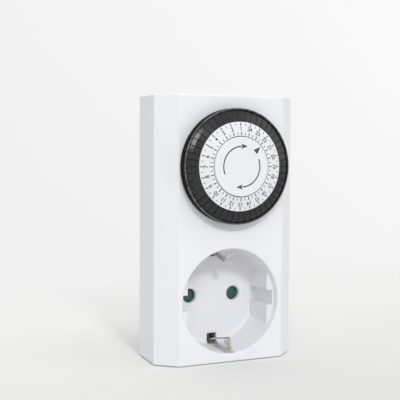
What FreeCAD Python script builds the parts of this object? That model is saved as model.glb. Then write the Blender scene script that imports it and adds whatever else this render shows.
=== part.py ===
import FreeCAD, Part
import math
import os

V = FreeCAD.Vector

# A plug-in timer switch. X runs across it, Z up, and depth runs from the front face
# at depth 0 towards the wall plug. What stands in front of that face has a negative
# depth. Lengths are in millimetres and angles in degrees. Angles about the dial run
# anticlockwise from +X as seen from the front.

# Housing
body_width = 58.0
body_height = 100.8
shell_depth = 24.0
side_draft = 1.0
bevel_width = 7.3
bevel_depth = 6.7
wall = 2.0
edge_round = 0.7
cover_inset = 1.5
cover_thick = 2.5
lip_height = 2.0
lip_thick = 1.2
lip_clearance = 0.2

# Socket well in the front
socket_z = 23.1
well_r = 19.95
socket_room_behind = 6.5
well_draft = 0.7
well_wall = 1.6
well_floor = 2.0
well_floor_round = 1.5
well_mouth_bevel = 0.4
pin_spacing = 19.0
pin_hole_r = 2.8
guide_chord_x = 16.8
guide_groove = 5.8
guide_groove_x = 19.3
guide_set_back = 3.0
clip_channel_width = 4.2
clip_channel_depth = 0.9
clip_slot_low = 0.2
clip_slot_height = 4.5

# Wall plug behind
boss_r = 18.6
boss_depth = 18.0
boss_wall = 2.0
boss_groove = 5.4
boss_groove_depth = 2.6
boss_strap_recess = 1.2
pin_r = 2.4
pin_length = 19.0
pin_head_r = 3.4
pin_head_thick = 1.6
pin_stub_r = 1.2
pin_root_r = 2.7
pin_fit = 0.02

# Screws
case_screw_inset_x = 6.2
case_screw_inset_z = 5.4
screw_post_r = 3.1
screw_shank_r = 1.45
screw_fit = 0.05
screw_head_r = 2.7
screw_head_thick = 1.6
screw_length = 12.0
small_screw_r = 1.0
small_screw_head_r = 2.1
small_screw_head_thick = 1.2
small_screw_length = 6.0
plate_post_r = 2.4

# Dial
dial_from_top = 26.6
dial_outer_band = 1.7
dial_rim_wall = 0.7
dial_rim_front = 4.9
dial_gap = 1.0
dial_floor = 0.9
dial_web_front = 3.2
dial_web_thick = 1.2
hub_r = 5.0
hub_hole_gap = 0.4
hub_front = 6.5
hub_length_behind = 6.6
spindle_r = 2.5
running_gap = 0.06
spindle_nose_r = 1.8
spindle_head_r = 2.8
spindle_head_thick = 1.4
number_outer_r = 16.45
number_band = 5.15
number_front_outer = 6.4
number_front_inner = 7.5
number_back = 5.2
drum_wall = 1.3
cap_ring_gap = 0.3
cap_front = 7.9
cap_thick = 1.1
cap_edge = 0.3

# Switching segments round the dial
hours = 24
segments_per_hour = 2
segment_gap = 0.14
segment_wall_gap = 0.15
segment_front_inner = 6.15
segment_front_outer = 5.35
segment_bevel_width = 2.2
segment_bevel_drop = 0.75
segment_travel = 1.7
segment_stop_gap = 0.1
segment_leg_gap = 0.15
segment_leg_depth = 2.0
segment_leg_angle = 4.8
segment_window_gap = 0.2
first_hour_angle = 90.0

# Gear train from the motor to the dial
gear_module = 0.5
pressure_angle = 20.0
pinion_teeth = 10
dial_gear_teeth = 60
reduction_teeth = 40
wheel_addendum = 0.30
wheel_dedendum = 0.75
pinion_addendum = 0.50
pinion_dedendum = 0.50
backlash = 0.14
gear_gap = 1.0
gear_holes = 5
gear_hole_share = 0.26
dial_gear_thick = 2.4
reduction_gap = 0.5
reduction_thick = 2.0
reduction_direction = 225.0
motor_direction = -20.0
axle_r = 1.0
clutch_r = 6.8
clutch_thick = 0.45
clutch_dish = 0.5
plate_gap = 1.1
plate_thick = 1.5
plate_left_gap = 4.4
plate_right_gap = 6.4
plate_drop = 27.2
plate_rise = 17.3
plate_notch_gap = 5.46
plate_step_gap = 0.1
plate_hole_gap = 0.15
post_left_inset = 4.0
post_left_rise = 2.8
post_right_inset = 2.8
post_right_rise = 2.0
post_top_inset = 5.0
post_top_drop = 3.8
motor_x = 6.0
motor_drop = 15.2
motor_r = 13.0
motor_bus_gap = 0.7
motor_shaft_hole = 2.2
motor_ear = 2.6
motor_ear_half_width = 5.0
motor_ear_thick = 1.0
motor_edge_round = 0.8
motor_collar_share = 0.45
motor_collar_height = 0.3

# Reader lever and snap switch
reader_angle = 48.75
nose_width = 1.5
nose_height = 1.7
nose_proud = 0.75
nose_slot_gap = 0.4
nose_drop = 0.6
lever_width = 5.0
lever_front_gap = 1.3
lever_thick = 1.4
lever_reach_below_nose = 1.6
lever_pivot_above_nose = 6.67
lever_boss_r = 1.9
lever_pin_r = 0.8
lever_plunger_gap = 0.25
switch_width = 6.4
switch_depth = 10.0
switch_length = 20.0
switch_front = 6.5
switch_above_pivot = 1.92
switch_fit = 0.1
plunger_r = 1.0
plunger_fit = 0.08
plunger_depth_inside = 1.5
plunger_travel = 0.8
switch_rib = 1.2
switch_rib_height = 8.3
switch_rib_depth = 10.0
terminal_width = 3.2
terminal_thick = 0.6
terminal_spacing = 7.5

# Manual override slider in the right side
slider_drop = 13.7
slider_cover_gap = 9.0
slider_knob_width = 4.0
slider_knob_height = 5.0
slider_travel = 5.0
slider_gap = 0.2
slider_proud = 0.35
slider_plate_thick = 1.4
slider_plate_width = 11.6
slider_plate_height = 19.0
slider_rail = 1.0
slider_finger_z = 20.0
slider_finger_height = 3.0
slider_switch_gap = 0.74
slider_finger_thick = 2.0

# Shutter behind the well floor
shutter_thick = 1.5
shutter_gap = 0.2
shutter_pad_overlap = 0.2
shutter_hub_r = 3.4
shutter_arm = 4.2
shutter_post_r = 1.5
spring_wire_r = 0.22
spring_coil_r = 2.6
spring_turns = 2
spring_pitch = 0.55
spring_pocket_r = 3.3
spring_pocket_depth = 1.6

# Contacts and conductors
carrier_half_width = 15.8
carrier_half_height = 7.0
carrier_gap = 0.3
carrier_thick = 2.0
carrier_pillar_r = 1.3
carrier_pillar_x = 14.3
tower_half_width = 4.3
tower_half_height = 4.8
tower_wall = 0.8
tower_length = 13.2
contact_leaf = 0.7
contact_gap = 2.45
contact_flare = 0.4
contact_half_height = 2.8
contact_clear = 0.2
strip_thick = 0.8
line_bus_x = 10.3
line_bus_width = 4.0
line_bus_rise = 10.5
load_bus_x = 4.25
load_bus_width = 3.5
load_bus_rise = 8.7
bus_cover_gap = 1.2
earth_width = 2.6
earth_thick = 0.5
earth_apex_rise = 5.2
earth_apex_depth = 3.8
earth_end_rise = 1.0
earth_end_depth = 1.4
earth_tail_rise = 2.4
bridge_width = 3.6
bridge_rise = 4.9
bridge_behind_floor = 2.3
bridge_seat = 0.4
bridge_behind_carrier = 0.6
plug_earth_depth = 4.5
lead_r = 0.6
lead_bend = 1.4
lead_start_x = 9.0
lead_start_drop = 7.0
lead_cross_drop = 19.0
lead_bus_gap = 0.3
lead_turn_gap = 0.9
lead_tower_gap = 0.05
solder_pin_share = 0.6

# Places worked out from the sizes above
half_width = body_width / 2
half_flat = half_width - bevel_width
case_screw_x = half_width - case_screw_inset_x
well_depth = shell_depth - socket_room_behind
dial_z = body_height - dial_from_top
segment_leg_inner_r = number_outer_r + drum_wall + segment_leg_gap
segment_leg_outer_r = segment_leg_inner_r + segment_leg_depth
dial_r = segment_leg_outer_r + dial_outer_band
number_inner_r = number_outer_r - number_band
cap_r = number_inner_r - cap_ring_gap
segment_bevel_r = dial_r - segment_bevel_width
reader_r = segment_leg_inner_r + segment_leg_depth / 2
plate_left = half_width - plate_left_gap
plate_right = half_width - plate_right_gap
plate_bottom_z = dial_z - plate_drop
plate_top_z = dial_z + plate_rise
motor_z = dial_z - motor_drop
slider_z = dial_z - slider_drop
slider_depth = shell_depth - slider_cover_gap
cover_back = shell_depth + cover_thick
boss_back = cover_back + boss_depth
total_depth = cap_front + boss_back + pin_length
y_front = cap_front - total_depth / 2
pin_x = pin_spacing / 2
floor_back = well_depth + well_floor
well_outer_r = well_r + well_wall
dial_floor_front = -(dial_gap + dial_floor)
segment_head_back = dial_gap + dial_floor + segment_travel + segment_stop_gap
hour_step = 360.0 / hours
segment_step = hour_step / segments_per_hour
dial_gear_front = wall + gear_gap
dial_gear_back = dial_gear_front + dial_gear_thick
reduction_front = dial_gear_back + reduction_gap
reduction_back = reduction_front + reduction_thick
plate_front = reduction_back + plate_gap
plate_back = plate_front + plate_thick
reduction_distance = gear_module * (dial_gear_teeth + pinion_teeth) / 2
motor_distance = gear_module * (reduction_teeth + pinion_teeth) / 2
reader_x = reader_r * math.cos(math.radians(reader_angle))
reader_z = dial_z + reader_r * math.sin(math.radians(reader_angle))
lever_pivot_z = reader_z + lever_pivot_above_nose
lever_front = wall + lever_front_gap
lever_back = lever_front + lever_thick
lever_pivot_depth = (lever_front + lever_back) / 2
lever_low_z = reader_z - lever_reach_below_nose
plunger_z = lever_low_z + plunger_r + lever_plunger_gap
plunger_tip = lever_back + lever_plunger_gap
switch_back = switch_front + switch_depth
switch_top_z = lever_pivot_z + switch_above_pivot
switch_low_z = switch_top_z - switch_length
bus_back = shell_depth - bus_cover_gap
bus_front = bus_back - strip_thick
motor_depth = bus_front - motor_bus_gap - plate_back
plate_notch_x = reader_x - plate_notch_gap
shutter_front = floor_back + shutter_gap
shutter_pad_r = pin_hole_r + shutter_pad_overlap
shutter_back = shutter_front + shutter_thick
carrier_front = shutter_back + carrier_gap
carrier_back = carrier_front + carrier_thick
tower_back = carrier_back + tower_length
contact_back = tower_back + strip_thick
pin_head_back = boss_back - boss_wall
pin_head_front = pin_head_back - pin_head_thick


def around(radius, angle, z=0.0):
    """Gives the x and z of a point at a radius and an angle about (0, z)."""
    turn = math.radians(angle)
    return radius * math.cos(turn), z + radius * math.sin(turn)


reduction_x, reduction_z = around(reduction_distance, reduction_direction, dial_z)
motor_shaft_x = reduction_x + motor_distance * math.cos(math.radians(motor_direction))
motor_shaft_z = reduction_z + motor_distance * math.sin(math.radians(motor_direction))
plate_posts = [
    (-(plate_left - post_left_inset), plate_bottom_z + post_left_rise),
    (plate_right - post_right_inset, plate_bottom_z + post_right_rise),
    (-(plate_left - post_top_inset), plate_top_z - post_top_drop),
]


def box(x0, x1, d0, d1, z0, z1):
    """Makes a block between two corners."""
    return Part.makeBox(x1 - x0, d1 - d0, z1 - z0, V(x0, d0, z0))


def rod(x, z, radius, d0, d1):
    """Makes a cylinder that runs along the depth."""
    return Part.makeCylinder(radius, d1 - d0, V(x, d0, z), V(0, 1, 0))


def cone(x, z, r0, r1, d0, d1):
    """Makes a cone that runs along the depth."""
    return Part.makeCone(r0, r1, d1 - d0, V(x, d0, z), V(0, 1, 0))


def closed_face(points):
    """Makes a flat face from its corners."""
    return Part.Face(Part.makePolygon(points + [points[0]]))


def plan_prism(points, z0, z1):
    """Raises an outline of (x, depth) corners along Z."""
    face = closed_face([V(x, d, z0) for x, d in points])
    return face.extrude(V(0, 0, z1 - z0))


def side_prism(points, x0, x1):
    """Stretches an outline of (depth, z) corners along X."""
    face = closed_face([V(x0, d, z) for d, z in points])
    return face.extrude(V(x1 - x0, 0, 0))


def front_prism(points, d0, d1):
    """Stretches an outline of (x, z) corners along the depth."""
    face = closed_face([V(x, d0, z) for x, z in points])
    return face.extrude(V(0, d1 - d0, 0))


def turned(profile, x, z, start=0.0, sweep=360.0):
    """Turns an outline of (radius, depth) corners about a depth axis at (x, z)."""
    face = closed_face([V(r, d, 0) for r, d in profile])
    solid = face.revolve(V(0, 0, 0), V(0, 1, 0), sweep)
    solid.rotate(V(0, 0, 0), V(0, 1, 0), -(start + sweep))
    solid.translate(V(x, 0, z))
    return solid


def strip(centre, thick, x0, x1):
    """Bends a strip of one thickness along a line of (depth, z) points."""
    left = []
    right = []
    last = len(centre) - 1
    for i, (d, z) in enumerate(centre):
        before = centre[max(i - 1, 0)]
        after = centre[min(i + 1, last)]
        along = []
        for a, b in ((before, (d, z)), ((d, z), after)):
            length = math.hypot(b[0] - a[0], b[1] - a[1])
            if length > 0:
                along.append(((b[0] - a[0]) / length, (b[1] - a[1]) / length))
        nd = -sum(t[1] for t in along) / len(along)
        nz = sum(t[0] for t in along) / len(along)
        scale = thick / 2 / (nd * nd + nz * nz)
        left.append((d + nd * scale, z + nz * scale))
        right.append((d - nd * scale, z - nz * scale))
    return side_prism(left + right[::-1], x0, x1)


def rounded_path(points, bend):
    """Joins straight runs with tangent arcs of one radius."""
    edges = []
    start = points[0]
    for i in range(1, len(points) - 1):
        corner = points[i]
        back = (points[i - 1] - corner).normalize()
        on = (points[i + 1] - corner).normalize()
        turn = math.pi - back.getAngle(on)
        reach = bend * math.tan(turn / 2)
        first = corner + back * reach
        second = corner + on * reach
        middle_way = (back + on).normalize()
        middle = corner + middle_way * (bend / math.cos(turn / 2) - bend)
        edges.append(Part.LineSegment(start, first).toShape())
        edges.append(Part.Arc(first, middle, second).toShape())
        start = second
    edges.append(Part.LineSegment(start, points[-1]).toShape())
    return Part.Wire(edges)


def wire_tube(points, radius, bend):
    """Sweeps a round wire along straight runs and arcs."""
    path = rounded_path(points, bend)
    profile = Part.Wire(Part.Circle(points[0], points[1] - points[0], radius).toShape())
    return path.makePipeShell([profile], True, False)


def gear(teeth, addendum, dedendum, x, z, d0, d1, phase):
    """Makes a toothed wheel with one tooth centred on the phase angle."""
    pitch_r = gear_module * teeth / 2
    base_r = pitch_r * math.cos(math.radians(pressure_angle))
    tip_r = pitch_r + addendum
    root_r = pitch_r - dedendum
    tooth = math.pi * gear_module / 2 - backlash
    at_pitch = math.tan(math.radians(pressure_angle)) - math.radians(pressure_angle)

    def half_angle(radius):
        lean = math.acos(min(1.0, base_r / radius))
        return tooth / 2 / pitch_r + at_pitch - (math.tan(lean) - lean)

    flank = [root_r, max(base_r, root_r), pitch_r, tip_r]
    corners = []
    for n in range(teeth):
        middle = math.radians(phase) + 2 * math.pi * n / teeth
        sides = [(r, -half_angle(max(r, base_r))) for r in flank]
        sides += [(r, half_angle(max(r, base_r))) for r in flank[::-1]]
        for r, turn in sides:
            point = V(x + r * math.cos(middle + turn), d0, z + r * math.sin(middle + turn))
            if not corners or point.distanceToPoint(corners[-1]) > 1e-4:
                corners.append(point)
    return closed_face(corners).extrude(V(0, d1 - d0, 0))


def half_width_at(depth):
    """Gives half the housing's width behind the bevels, where the sides lean in."""
    return half_width - side_draft * (depth - bevel_depth) / (shell_depth - bevel_depth)


def shell_outline(inset, back):
    """Gives the housing's outline in plan, drawn in by an inset and open to a depth."""
    slant = math.hypot(bevel_width, bevel_depth)
    shift = inset * (slant - bevel_depth) / bevel_width
    side_shift = inset * (slant - bevel_width) / bevel_depth
    knee = half_width - inset
    flat = half_flat - shift
    knee_depth = bevel_depth + side_shift
    rear = half_width_at(back) - inset
    return [(-rear, back), (-knee, knee_depth), (-flat, inset), (flat, inset),
            (knee, knee_depth), (rear, back)]


def screw_places():
    """Gives the (x, z) of the screws that hold the rear cover."""
    low = case_screw_inset_z
    high = body_height - case_screw_inset_z
    return [(x, z) for x in (-case_screw_x, case_screw_x) for z in (low, high)]


def outer_block():
    """Makes the housing's outside, with its edges rounded."""
    block = plan_prism(shell_outline(0.0, shell_depth), 0.0, body_height)
    edges = [e for e in block.Edges if e.BoundBox.YMin < shell_depth - 1e-3]
    return block.makeFillet(edge_round, edges)


def well_cavity():
    """Makes the hollow that a plug goes into."""
    hollow = cone(0, socket_z, well_r, well_r - well_draft, 0, well_depth)
    rim = [e for e in hollow.Edges if abs(e.BoundBox.YMin - well_depth) < 1e-3
           and abs(e.BoundBox.YMax - well_depth) < 1e-3]
    hollow = hollow.makeFillet(well_floor_round, rim)
    mouth = cone(0, socket_z, well_r + well_mouth_bevel, well_r, 0, well_mouth_bevel)
    front = rod(0, socket_z, well_r + well_mouth_bevel, -1, 0)
    return hollow.fuse([mouth, front])


def guide_blocks():
    """Makes the two flat guide blocks in the well, each with its groove."""
    reach = well_r + well_wall / 2
    blocks = []
    for side in (-1, 1):
        x0, x1 = sorted((side * guide_chord_x, side * reach))
        g0, g1 = sorted((side * (guide_chord_x - 1), side * guide_groove_x))
        block = box(x0, x1, guide_set_back, well_depth + well_floor / 2,
                    socket_z - reach, socket_z + reach)
        groove = box(g0, g1, 0, well_depth + well_floor, socket_z - guide_groove / 2,
                     socket_z + guide_groove / 2)
        blocks.append(block.common(rod(0, socket_z, reach, 0, floor_back)).cut(groove))
    return blocks


def clip_cuts():
    """Makes the channels and floor slots of the two earth clips."""
    half = clip_channel_width / 2
    cuts = []
    for side in (-1, 1):
        edge = side * (well_r + clip_channel_depth)
        inner = side * (well_r - well_draft - 1.5)
        z0, z1 = sorted((socket_z + edge, socket_z + inner))
        cuts.append(box(-half, half, clip_channel_depth, well_depth, z0, z1))
        outer = side * (well_r - clip_slot_low)
        low = side * (well_r - clip_slot_low - clip_slot_height)
        z0, z1 = sorted((socket_z + outer, socket_z + low))
        cuts.append(box(-half, half, well_depth - 2, floor_back + 1, z0, z1))
    return cuts


def slider_outside_x():
    """Gives the x of the housing's right side at the slider."""
    return half_width_at(slider_depth)


def front_housing():
    """Makes the front shell with its well, posts, ribs and rails."""
    block = outer_block()
    inside = plan_prism(shell_outline(wall, shell_depth), wall, body_height - wall)
    shell = block.cut(inside)
    shell = shell.fuse(rod(0, socket_z, well_outer_r, wall / 2, floor_back))
    shell = shell.cut(well_cavity())
    adds = guide_blocks()
    inner_room = plan_prism(shell_outline(wall / 2, shell_depth), wall / 2,
                            body_height - wall / 2)
    for x, z in screw_places():
        post = rod(x, z, screw_post_r, wall / 2, shell_depth)
        adds.append(post.common(inner_room))
    for x, z in plate_posts:
        adds.append(rod(x, z, plate_post_r, wall / 2, plate_front).common(inner_room))
    adds.append(rod(reduction_x, reduction_z, axle_r + 1.2, wall / 2, wall + gear_gap / 2))
    adds.append(rod(0, socket_z, shutter_post_r, well_depth + well_floor / 2,
                    carrier_front + spring_pocket_depth + 0.2))
    for side in (-1, 1):
        adds.append(rod(side * carrier_pillar_x, socket_z, carrier_pillar_r,
                        well_depth + well_floor / 2, carrier_front))
    adds += switch_ribs()
    adds += slider_rails()
    shell = shell.fuse(adds)
    cuts = clip_cuts()
    for side in (-1, 1):
        cuts.append(rod(side * pin_x, socket_z, pin_hole_r, 0, floor_back + 1))
        cuts.append(cone(side * pin_x, socket_z, pin_hole_r + 0.5, pin_hole_r,
                         well_depth, well_depth + 0.5))
    for x, z in screw_places():
        cuts.append(rod(x, z, screw_shank_r + screw_fit,
                        shell_depth - screw_length, shell_depth + 1))
    for x, z in plate_posts:
        cuts.append(rod(x, z, small_screw_r + screw_fit,
                        plate_back - small_screw_length - 0.3, plate_front + 1))
    cuts.append(rod(0, dial_z, hub_r + hub_hole_gap, -1, wall + 1))
    cuts.append(box(reader_x - nose_width / 2 - nose_slot_gap,
                    reader_x + nose_width / 2 + nose_slot_gap, -1, wall + 1,
                    reader_z - nose_height / 2 - nose_slot_gap - nose_drop,
                    reader_z + nose_height / 2 + nose_slot_gap))
    pin_half = lever_width / 2 + switch_rib + 2
    cuts.append(Part.makeCylinder(lever_pin_r, 2 * pin_half,
                                  V(reader_x - pin_half, lever_pivot_depth, lever_pivot_z),
                                  V(1, 0, 0)))
    cuts.append(box(half_width - wall * 2, half_width + 1,
                    slider_depth - slider_knob_width / 2 - slider_gap,
                    slider_depth + slider_knob_width / 2 + slider_gap,
                    slider_z - slider_knob_height / 2 - slider_gap,
                    slider_z + slider_knob_height / 2 + slider_travel + slider_gap))
    return shell.cut(cuts).removeSplitter()


def switch_ribs():
    """Makes the two ribs that hold the snap switch and the lever's pin."""
    ribs = []
    low = body_height - wall - switch_rib_height
    for side in (-1, 1):
        near = reader_x + side * (switch_width / 2 + switch_fit)
        far = near + side * switch_rib
        x0, x1 = sorted((near, far))
        ribs.append(box(x0, x1, wall / 2, wall + switch_rib_depth, low,
                        body_height - wall / 2))
    return ribs


def slider_rails():
    """Makes the rails that guide the override slider up the right side."""
    rails = []
    inner = half_width_at(shell_depth) - wall - slider_plate_thick - 2 * slider_gap
    z0 = slider_z - slider_plate_height / 2 - slider_gap
    z1 = slider_z + slider_plate_height / 2 + slider_travel
    half = slider_plate_width / 2 + slider_gap
    for side in (-1, 1):
        near = slider_depth + side * half
        d0, d1 = sorted((near, near + side * slider_rail))
        rails.append(box(inner, half_width - wall / 2 - 0.8, d0, d1, z0, z1))
    return rails


def boss_section(radius, groove_inset, d0, d1):
    """Makes the wall plug's round body with a groove down each side."""
    body = rod(0, socket_z, radius, d0, d1)
    half = boss_groove / 2 + groove_inset
    cuts = []
    for side in (-1, 1):
        near = side * (boss_r - boss_groove_depth - groove_inset)
        x0, x1 = sorted((near, side * (boss_r + 1)))
        cuts.append(box(x0, x1, d0 - 1, d1 + 1, socket_z - half, socket_z + half))
    return body.cut(cuts)


def rear_cover():
    """Makes the rear cover with the wall plug's body."""
    edge = half_width_at(shell_depth) - cover_inset
    low = cover_inset
    high = body_height - cover_inset
    plate = box(-edge, edge, shell_depth, cover_back, low, high)
    corners = [e for e in plate.Edges if abs(e.BoundBox.XLength) < 1e-6
               and abs(e.BoundBox.ZLength) < 1e-6]
    plate = plate.makeFillet(3.0, corners)
    lip_x = half_width_at(shell_depth) - wall - lip_clearance
    lip_low = wall + lip_clearance
    lip_high = body_height - wall - lip_clearance
    lip = box(-lip_x, lip_x, shell_depth - lip_height, shell_depth, lip_low, lip_high)
    hole = box(-lip_x + lip_thick, lip_x - lip_thick, shell_depth - lip_height - 1,
               shell_depth + 1, lip_low + lip_thick, lip_high - lip_thick)
    lip = lip.cut(hole)
    gaps = [rod(x, z, screw_post_r + lip_clearance, shell_depth - lip_height - 1, shell_depth)
            for x, z in screw_places()]
    rail_gap = box(lip_x - lip_thick - 3, lip_x + 1, 0, shell_depth,
                   slider_z - slider_plate_height / 2 - 1,
                   slider_z + slider_plate_height / 2 + slider_travel + 1)
    lip = lip.cut(gaps + [rail_gap])
    body = boss_section(boss_r, 0.0, shell_depth, boss_back)
    cover = plate.fuse([lip, body])
    inside = boss_section(boss_r - boss_wall, boss_wall, shell_depth - lip_height - 2,
                          pin_head_back)
    cuts = [inside]
    half = bridge_width / 2 + 0.3
    for side in (-1, 1):
        near = side * (boss_r - boss_strap_recess)
        z0, z1 = sorted((socket_z + near, socket_z + side * (boss_r + 1)))
        cuts.append(box(-half, half, plug_earth_front(), boss_back + 1, z0, z1))
        inner = side * (boss_r - boss_wall - 2)
        z0, z1 = sorted((socket_z + near, socket_z + inner))
        cuts.append(box(-half, half, plug_earth_front(),
                        plug_earth_front() + strip_thick + 0.2, z0, z1))
        cuts.append(rod(side * pin_x, socket_z, pin_root_r + pin_fit, pin_head_back - 1,
                        boss_back + 1))
    for x, z in screw_places():
        cuts.append(rod(x, z, screw_shank_r + 0.15, 0, cover_back + 1))
        cuts.append(rod(x, z, screw_head_r + 0.2, cover_back - screw_head_thick,
                        cover_back + 1))
    return cover.cut(cuts).removeSplitter()


def case_screws():
    """Makes the four screws that hold the rear cover."""
    screws = []
    seat = cover_back - screw_head_thick
    for x, z in screw_places():
        shank = rod(x, z, screw_shank_r, shell_depth - screw_length + 0.5, seat)
        head = rod(x, z, screw_head_r, seat, cover_back - 0.1)
        slot = box(x - screw_head_r * 0.7, x + screw_head_r * 0.7, cover_back - 0.8,
                   cover_back, z - 0.3, z + 0.3)
        cross = box(x - 0.3, x + 0.3, cover_back - 0.8, cover_back,
                    z - screw_head_r * 0.7, z + screw_head_r * 0.7)
        screws.append(shank.fuse(head).cut([slot, cross]))
    return Part.makeCompound(screws)


def dial_wheel():
    """Makes the black dial body: rim, slotted floor, drum, web and hub."""
    front = -dial_rim_front
    back = -dial_gap
    rim = turned([(dial_r - dial_rim_wall, front), (dial_r - 0.2, front),
                  (dial_r, front + 0.2), (dial_r, back), (dial_r - dial_rim_wall, back)],
                 0, dial_z)
    floor = turned([(number_outer_r - drum_wall, dial_floor_front),
                    (dial_r - dial_rim_wall / 2, dial_floor_front),
                    (dial_r - dial_rim_wall / 2, back),
                    (number_outer_r - drum_wall, back)], 0, dial_z)
    drum = turned([(number_outer_r - drum_wall, -number_back), (number_outer_r, -number_back),
                   (number_outer_r, back), (number_outer_r - drum_wall, back)], 0, dial_z)
    web = turned([(hub_r - 1, -dial_web_front), (number_outer_r - drum_wall / 2, -dial_web_front),
                  (number_outer_r - drum_wall / 2, -dial_web_front + dial_web_thick),
                  (hub_r - 1, -dial_web_front + dial_web_thick)], 0, dial_z)
    hub = rod(0, dial_z, hub_r, -hub_front, hub_length_behind)
    wheel = rim.fuse([floor, drum, web, hub])
    cuts = [rod(0, dial_z, spindle_r + running_gap, -hub_front - 1, hub_length_behind + 1)]
    half = segment_leg_angle / 2 + math.degrees(segment_window_gap / segment_leg_inner_r)
    for n in range(hours * segments_per_hour):
        middle = first_hour_angle + (n + 0.5) * segment_step
        cuts.append(turned([(segment_leg_inner_r - segment_window_gap, dial_floor_front - 0.5),
                            (segment_leg_outer_r + segment_window_gap, dial_floor_front - 0.5),
                            (segment_leg_outer_r + segment_window_gap, back + 0.5),
                            (segment_leg_inner_r - segment_window_gap, back + 0.5)],
                           0, dial_z, middle - half, 2 * half))
    return wheel.cut(cuts)


def segment(middle):
    """Makes one switching segment: a bevelled head on a leg."""
    inner = number_outer_r + segment_wall_gap
    outer = dial_r - dial_rim_wall - segment_wall_gap
    half = segment_step / 2 - math.degrees(segment_gap / 2 / inner)
    head = turned([(inner, -segment_front_inner), (segment_bevel_r, -segment_front_outer),
                   (outer, -segment_front_outer + segment_bevel_drop),
                   (outer, -segment_head_back), (inner, -segment_head_back)],
                  0, dial_z, middle - half, 2 * half)
    leg = turned([(segment_leg_inner_r, -segment_head_back - 0.2),
                  (segment_leg_outer_r, -segment_head_back - 0.2),
                  (segment_leg_outer_r, dial_floor_front + 0.05),
                  (segment_leg_inner_r, dial_floor_front + 0.05)],
                 0, dial_z, middle - segment_leg_angle / 2, segment_leg_angle)
    return head.fuse(leg)


def hour_segments(hour):
    """Makes the segments that follow one hour mark."""
    start = first_hour_angle + (hour - 1) * hour_step
    return Part.makeCompound([segment(start + (n + 0.5) * segment_step)
                              for n in range(segments_per_hour)])


def number_ring():
    """Makes the white ring that carries the hours."""
    outer = number_outer_r + 0.05
    return turned([(number_inner_r, -number_front_inner), (outer, -number_front_outer),
                   (outer, -number_back), (number_inner_r, -number_back)], 0, dial_z)


def centre_cap():
    """Makes the fixed disc in the middle of the dial."""
    back = -(cap_front - cap_thick)
    cap = turned([(0, -cap_front), (cap_r - cap_edge, -cap_front),
                  (cap_r, -cap_front + cap_edge), (cap_r, back), (0, back)], 0, dial_z)
    return cap.cut(rod(0, dial_z, spindle_nose_r + pin_fit, back - 0.7, back + 1))


def spindle():
    """Makes the fixed spindle that the dial turns on."""
    shoulder = -(cap_front - cap_thick)
    body = rod(0, dial_z, spindle_r, shoulder, plate_back)
    nose = rod(0, dial_z, spindle_nose_r, shoulder - 0.65, shoulder)
    head = rod(0, dial_z, spindle_head_r, plate_back, plate_back + spindle_head_thick)
    return body.fuse([nose, head])


def dial_gear():
    """Makes the gear on the dial's hub, behind the front wall."""
    phase = reduction_direction - 180.0 / dial_gear_teeth
    wheel = gear(dial_gear_teeth, wheel_addendum, wheel_dedendum, 0, dial_z,
                 dial_gear_front, dial_gear_back, phase)
    holes = [rod(0, dial_z, hub_r, 0, dial_gear_back + 1)]
    web = gear_module * dial_gear_teeth / 2 - hub_r
    for n in range(gear_holes):
        x, z = around(hub_r + web / 2, (n + 0.5) * 360.0 / gear_holes, dial_z)
        holes.append(rod(x, z, web * gear_hole_share, 0, dial_gear_back + 1))
    return wheel.cut(holes)


def clutch_spring():
    """Makes the dished washer that presses the dial gear to the hub."""
    face = dial_gear_back
    return turned([(clutch_r, face), (clutch_r, face + clutch_thick),
                   (hub_r, face + clutch_dish + clutch_thick), (hub_r, face + clutch_dish)],
                  0, dial_z)


def reduction_gear():
    """Makes the compound gear between the motor and the dial."""
    pinion = gear(pinion_teeth, pinion_addendum, pinion_dedendum, reduction_x, reduction_z,
                  dial_gear_front, reduction_front, reduction_direction + 180.0)
    phase = motor_direction - 180.0 / reduction_teeth
    wheel = gear(reduction_teeth, wheel_addendum, wheel_dedendum, reduction_x, reduction_z,
                 reduction_front, reduction_back, phase)
    return pinion.fuse(wheel).cut(rod(reduction_x, reduction_z, axle_r + running_gap, 0,
                                      plate_front))


def reduction_axle():
    """Makes the axle of the compound gear."""
    return rod(reduction_x, reduction_z, axle_r, wall + gear_gap / 2, plate_back)


def motor_pinion():
    """Makes the motor's output pinion on its shaft."""
    pinion = gear(pinion_teeth, pinion_addendum, pinion_dedendum, motor_shaft_x,
                  motor_shaft_z, reduction_front, reduction_back, motor_direction + 180.0)
    shaft = rod(motor_shaft_x, motor_shaft_z, axle_r, reduction_front - 0.3,
                plate_back + motor_shaft_hole)
    return pinion.fuse(shaft)


def motor():
    """Makes the sealed geared motor with its two ears."""
    back = plate_back + motor_depth
    can = rod(motor_x, motor_z, motor_r, plate_back, back)
    edge = [e for e in can.Edges if abs(e.BoundBox.YMin - back) < 1e-3]
    can = can.makeFillet(motor_edge_round, edge)
    collar = rod(motor_x, motor_z, motor_r * motor_collar_share, back,
                 back + motor_collar_height)
    bar = box(motor_x - motor_ear_half_width, motor_x + motor_ear_half_width, plate_back,
              plate_back + motor_ear_thick, motor_z - motor_r + motor_collar_height,
              motor_z - motor_r + motor_ear + 1)
    shaft_hole = rod(motor_shaft_x, motor_shaft_z, axle_r + running_gap, plate_back - 1,
                     plate_back + motor_shaft_hole + 0.2)
    return can.fuse([collar, bar]).cut(shaft_hole)


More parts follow.
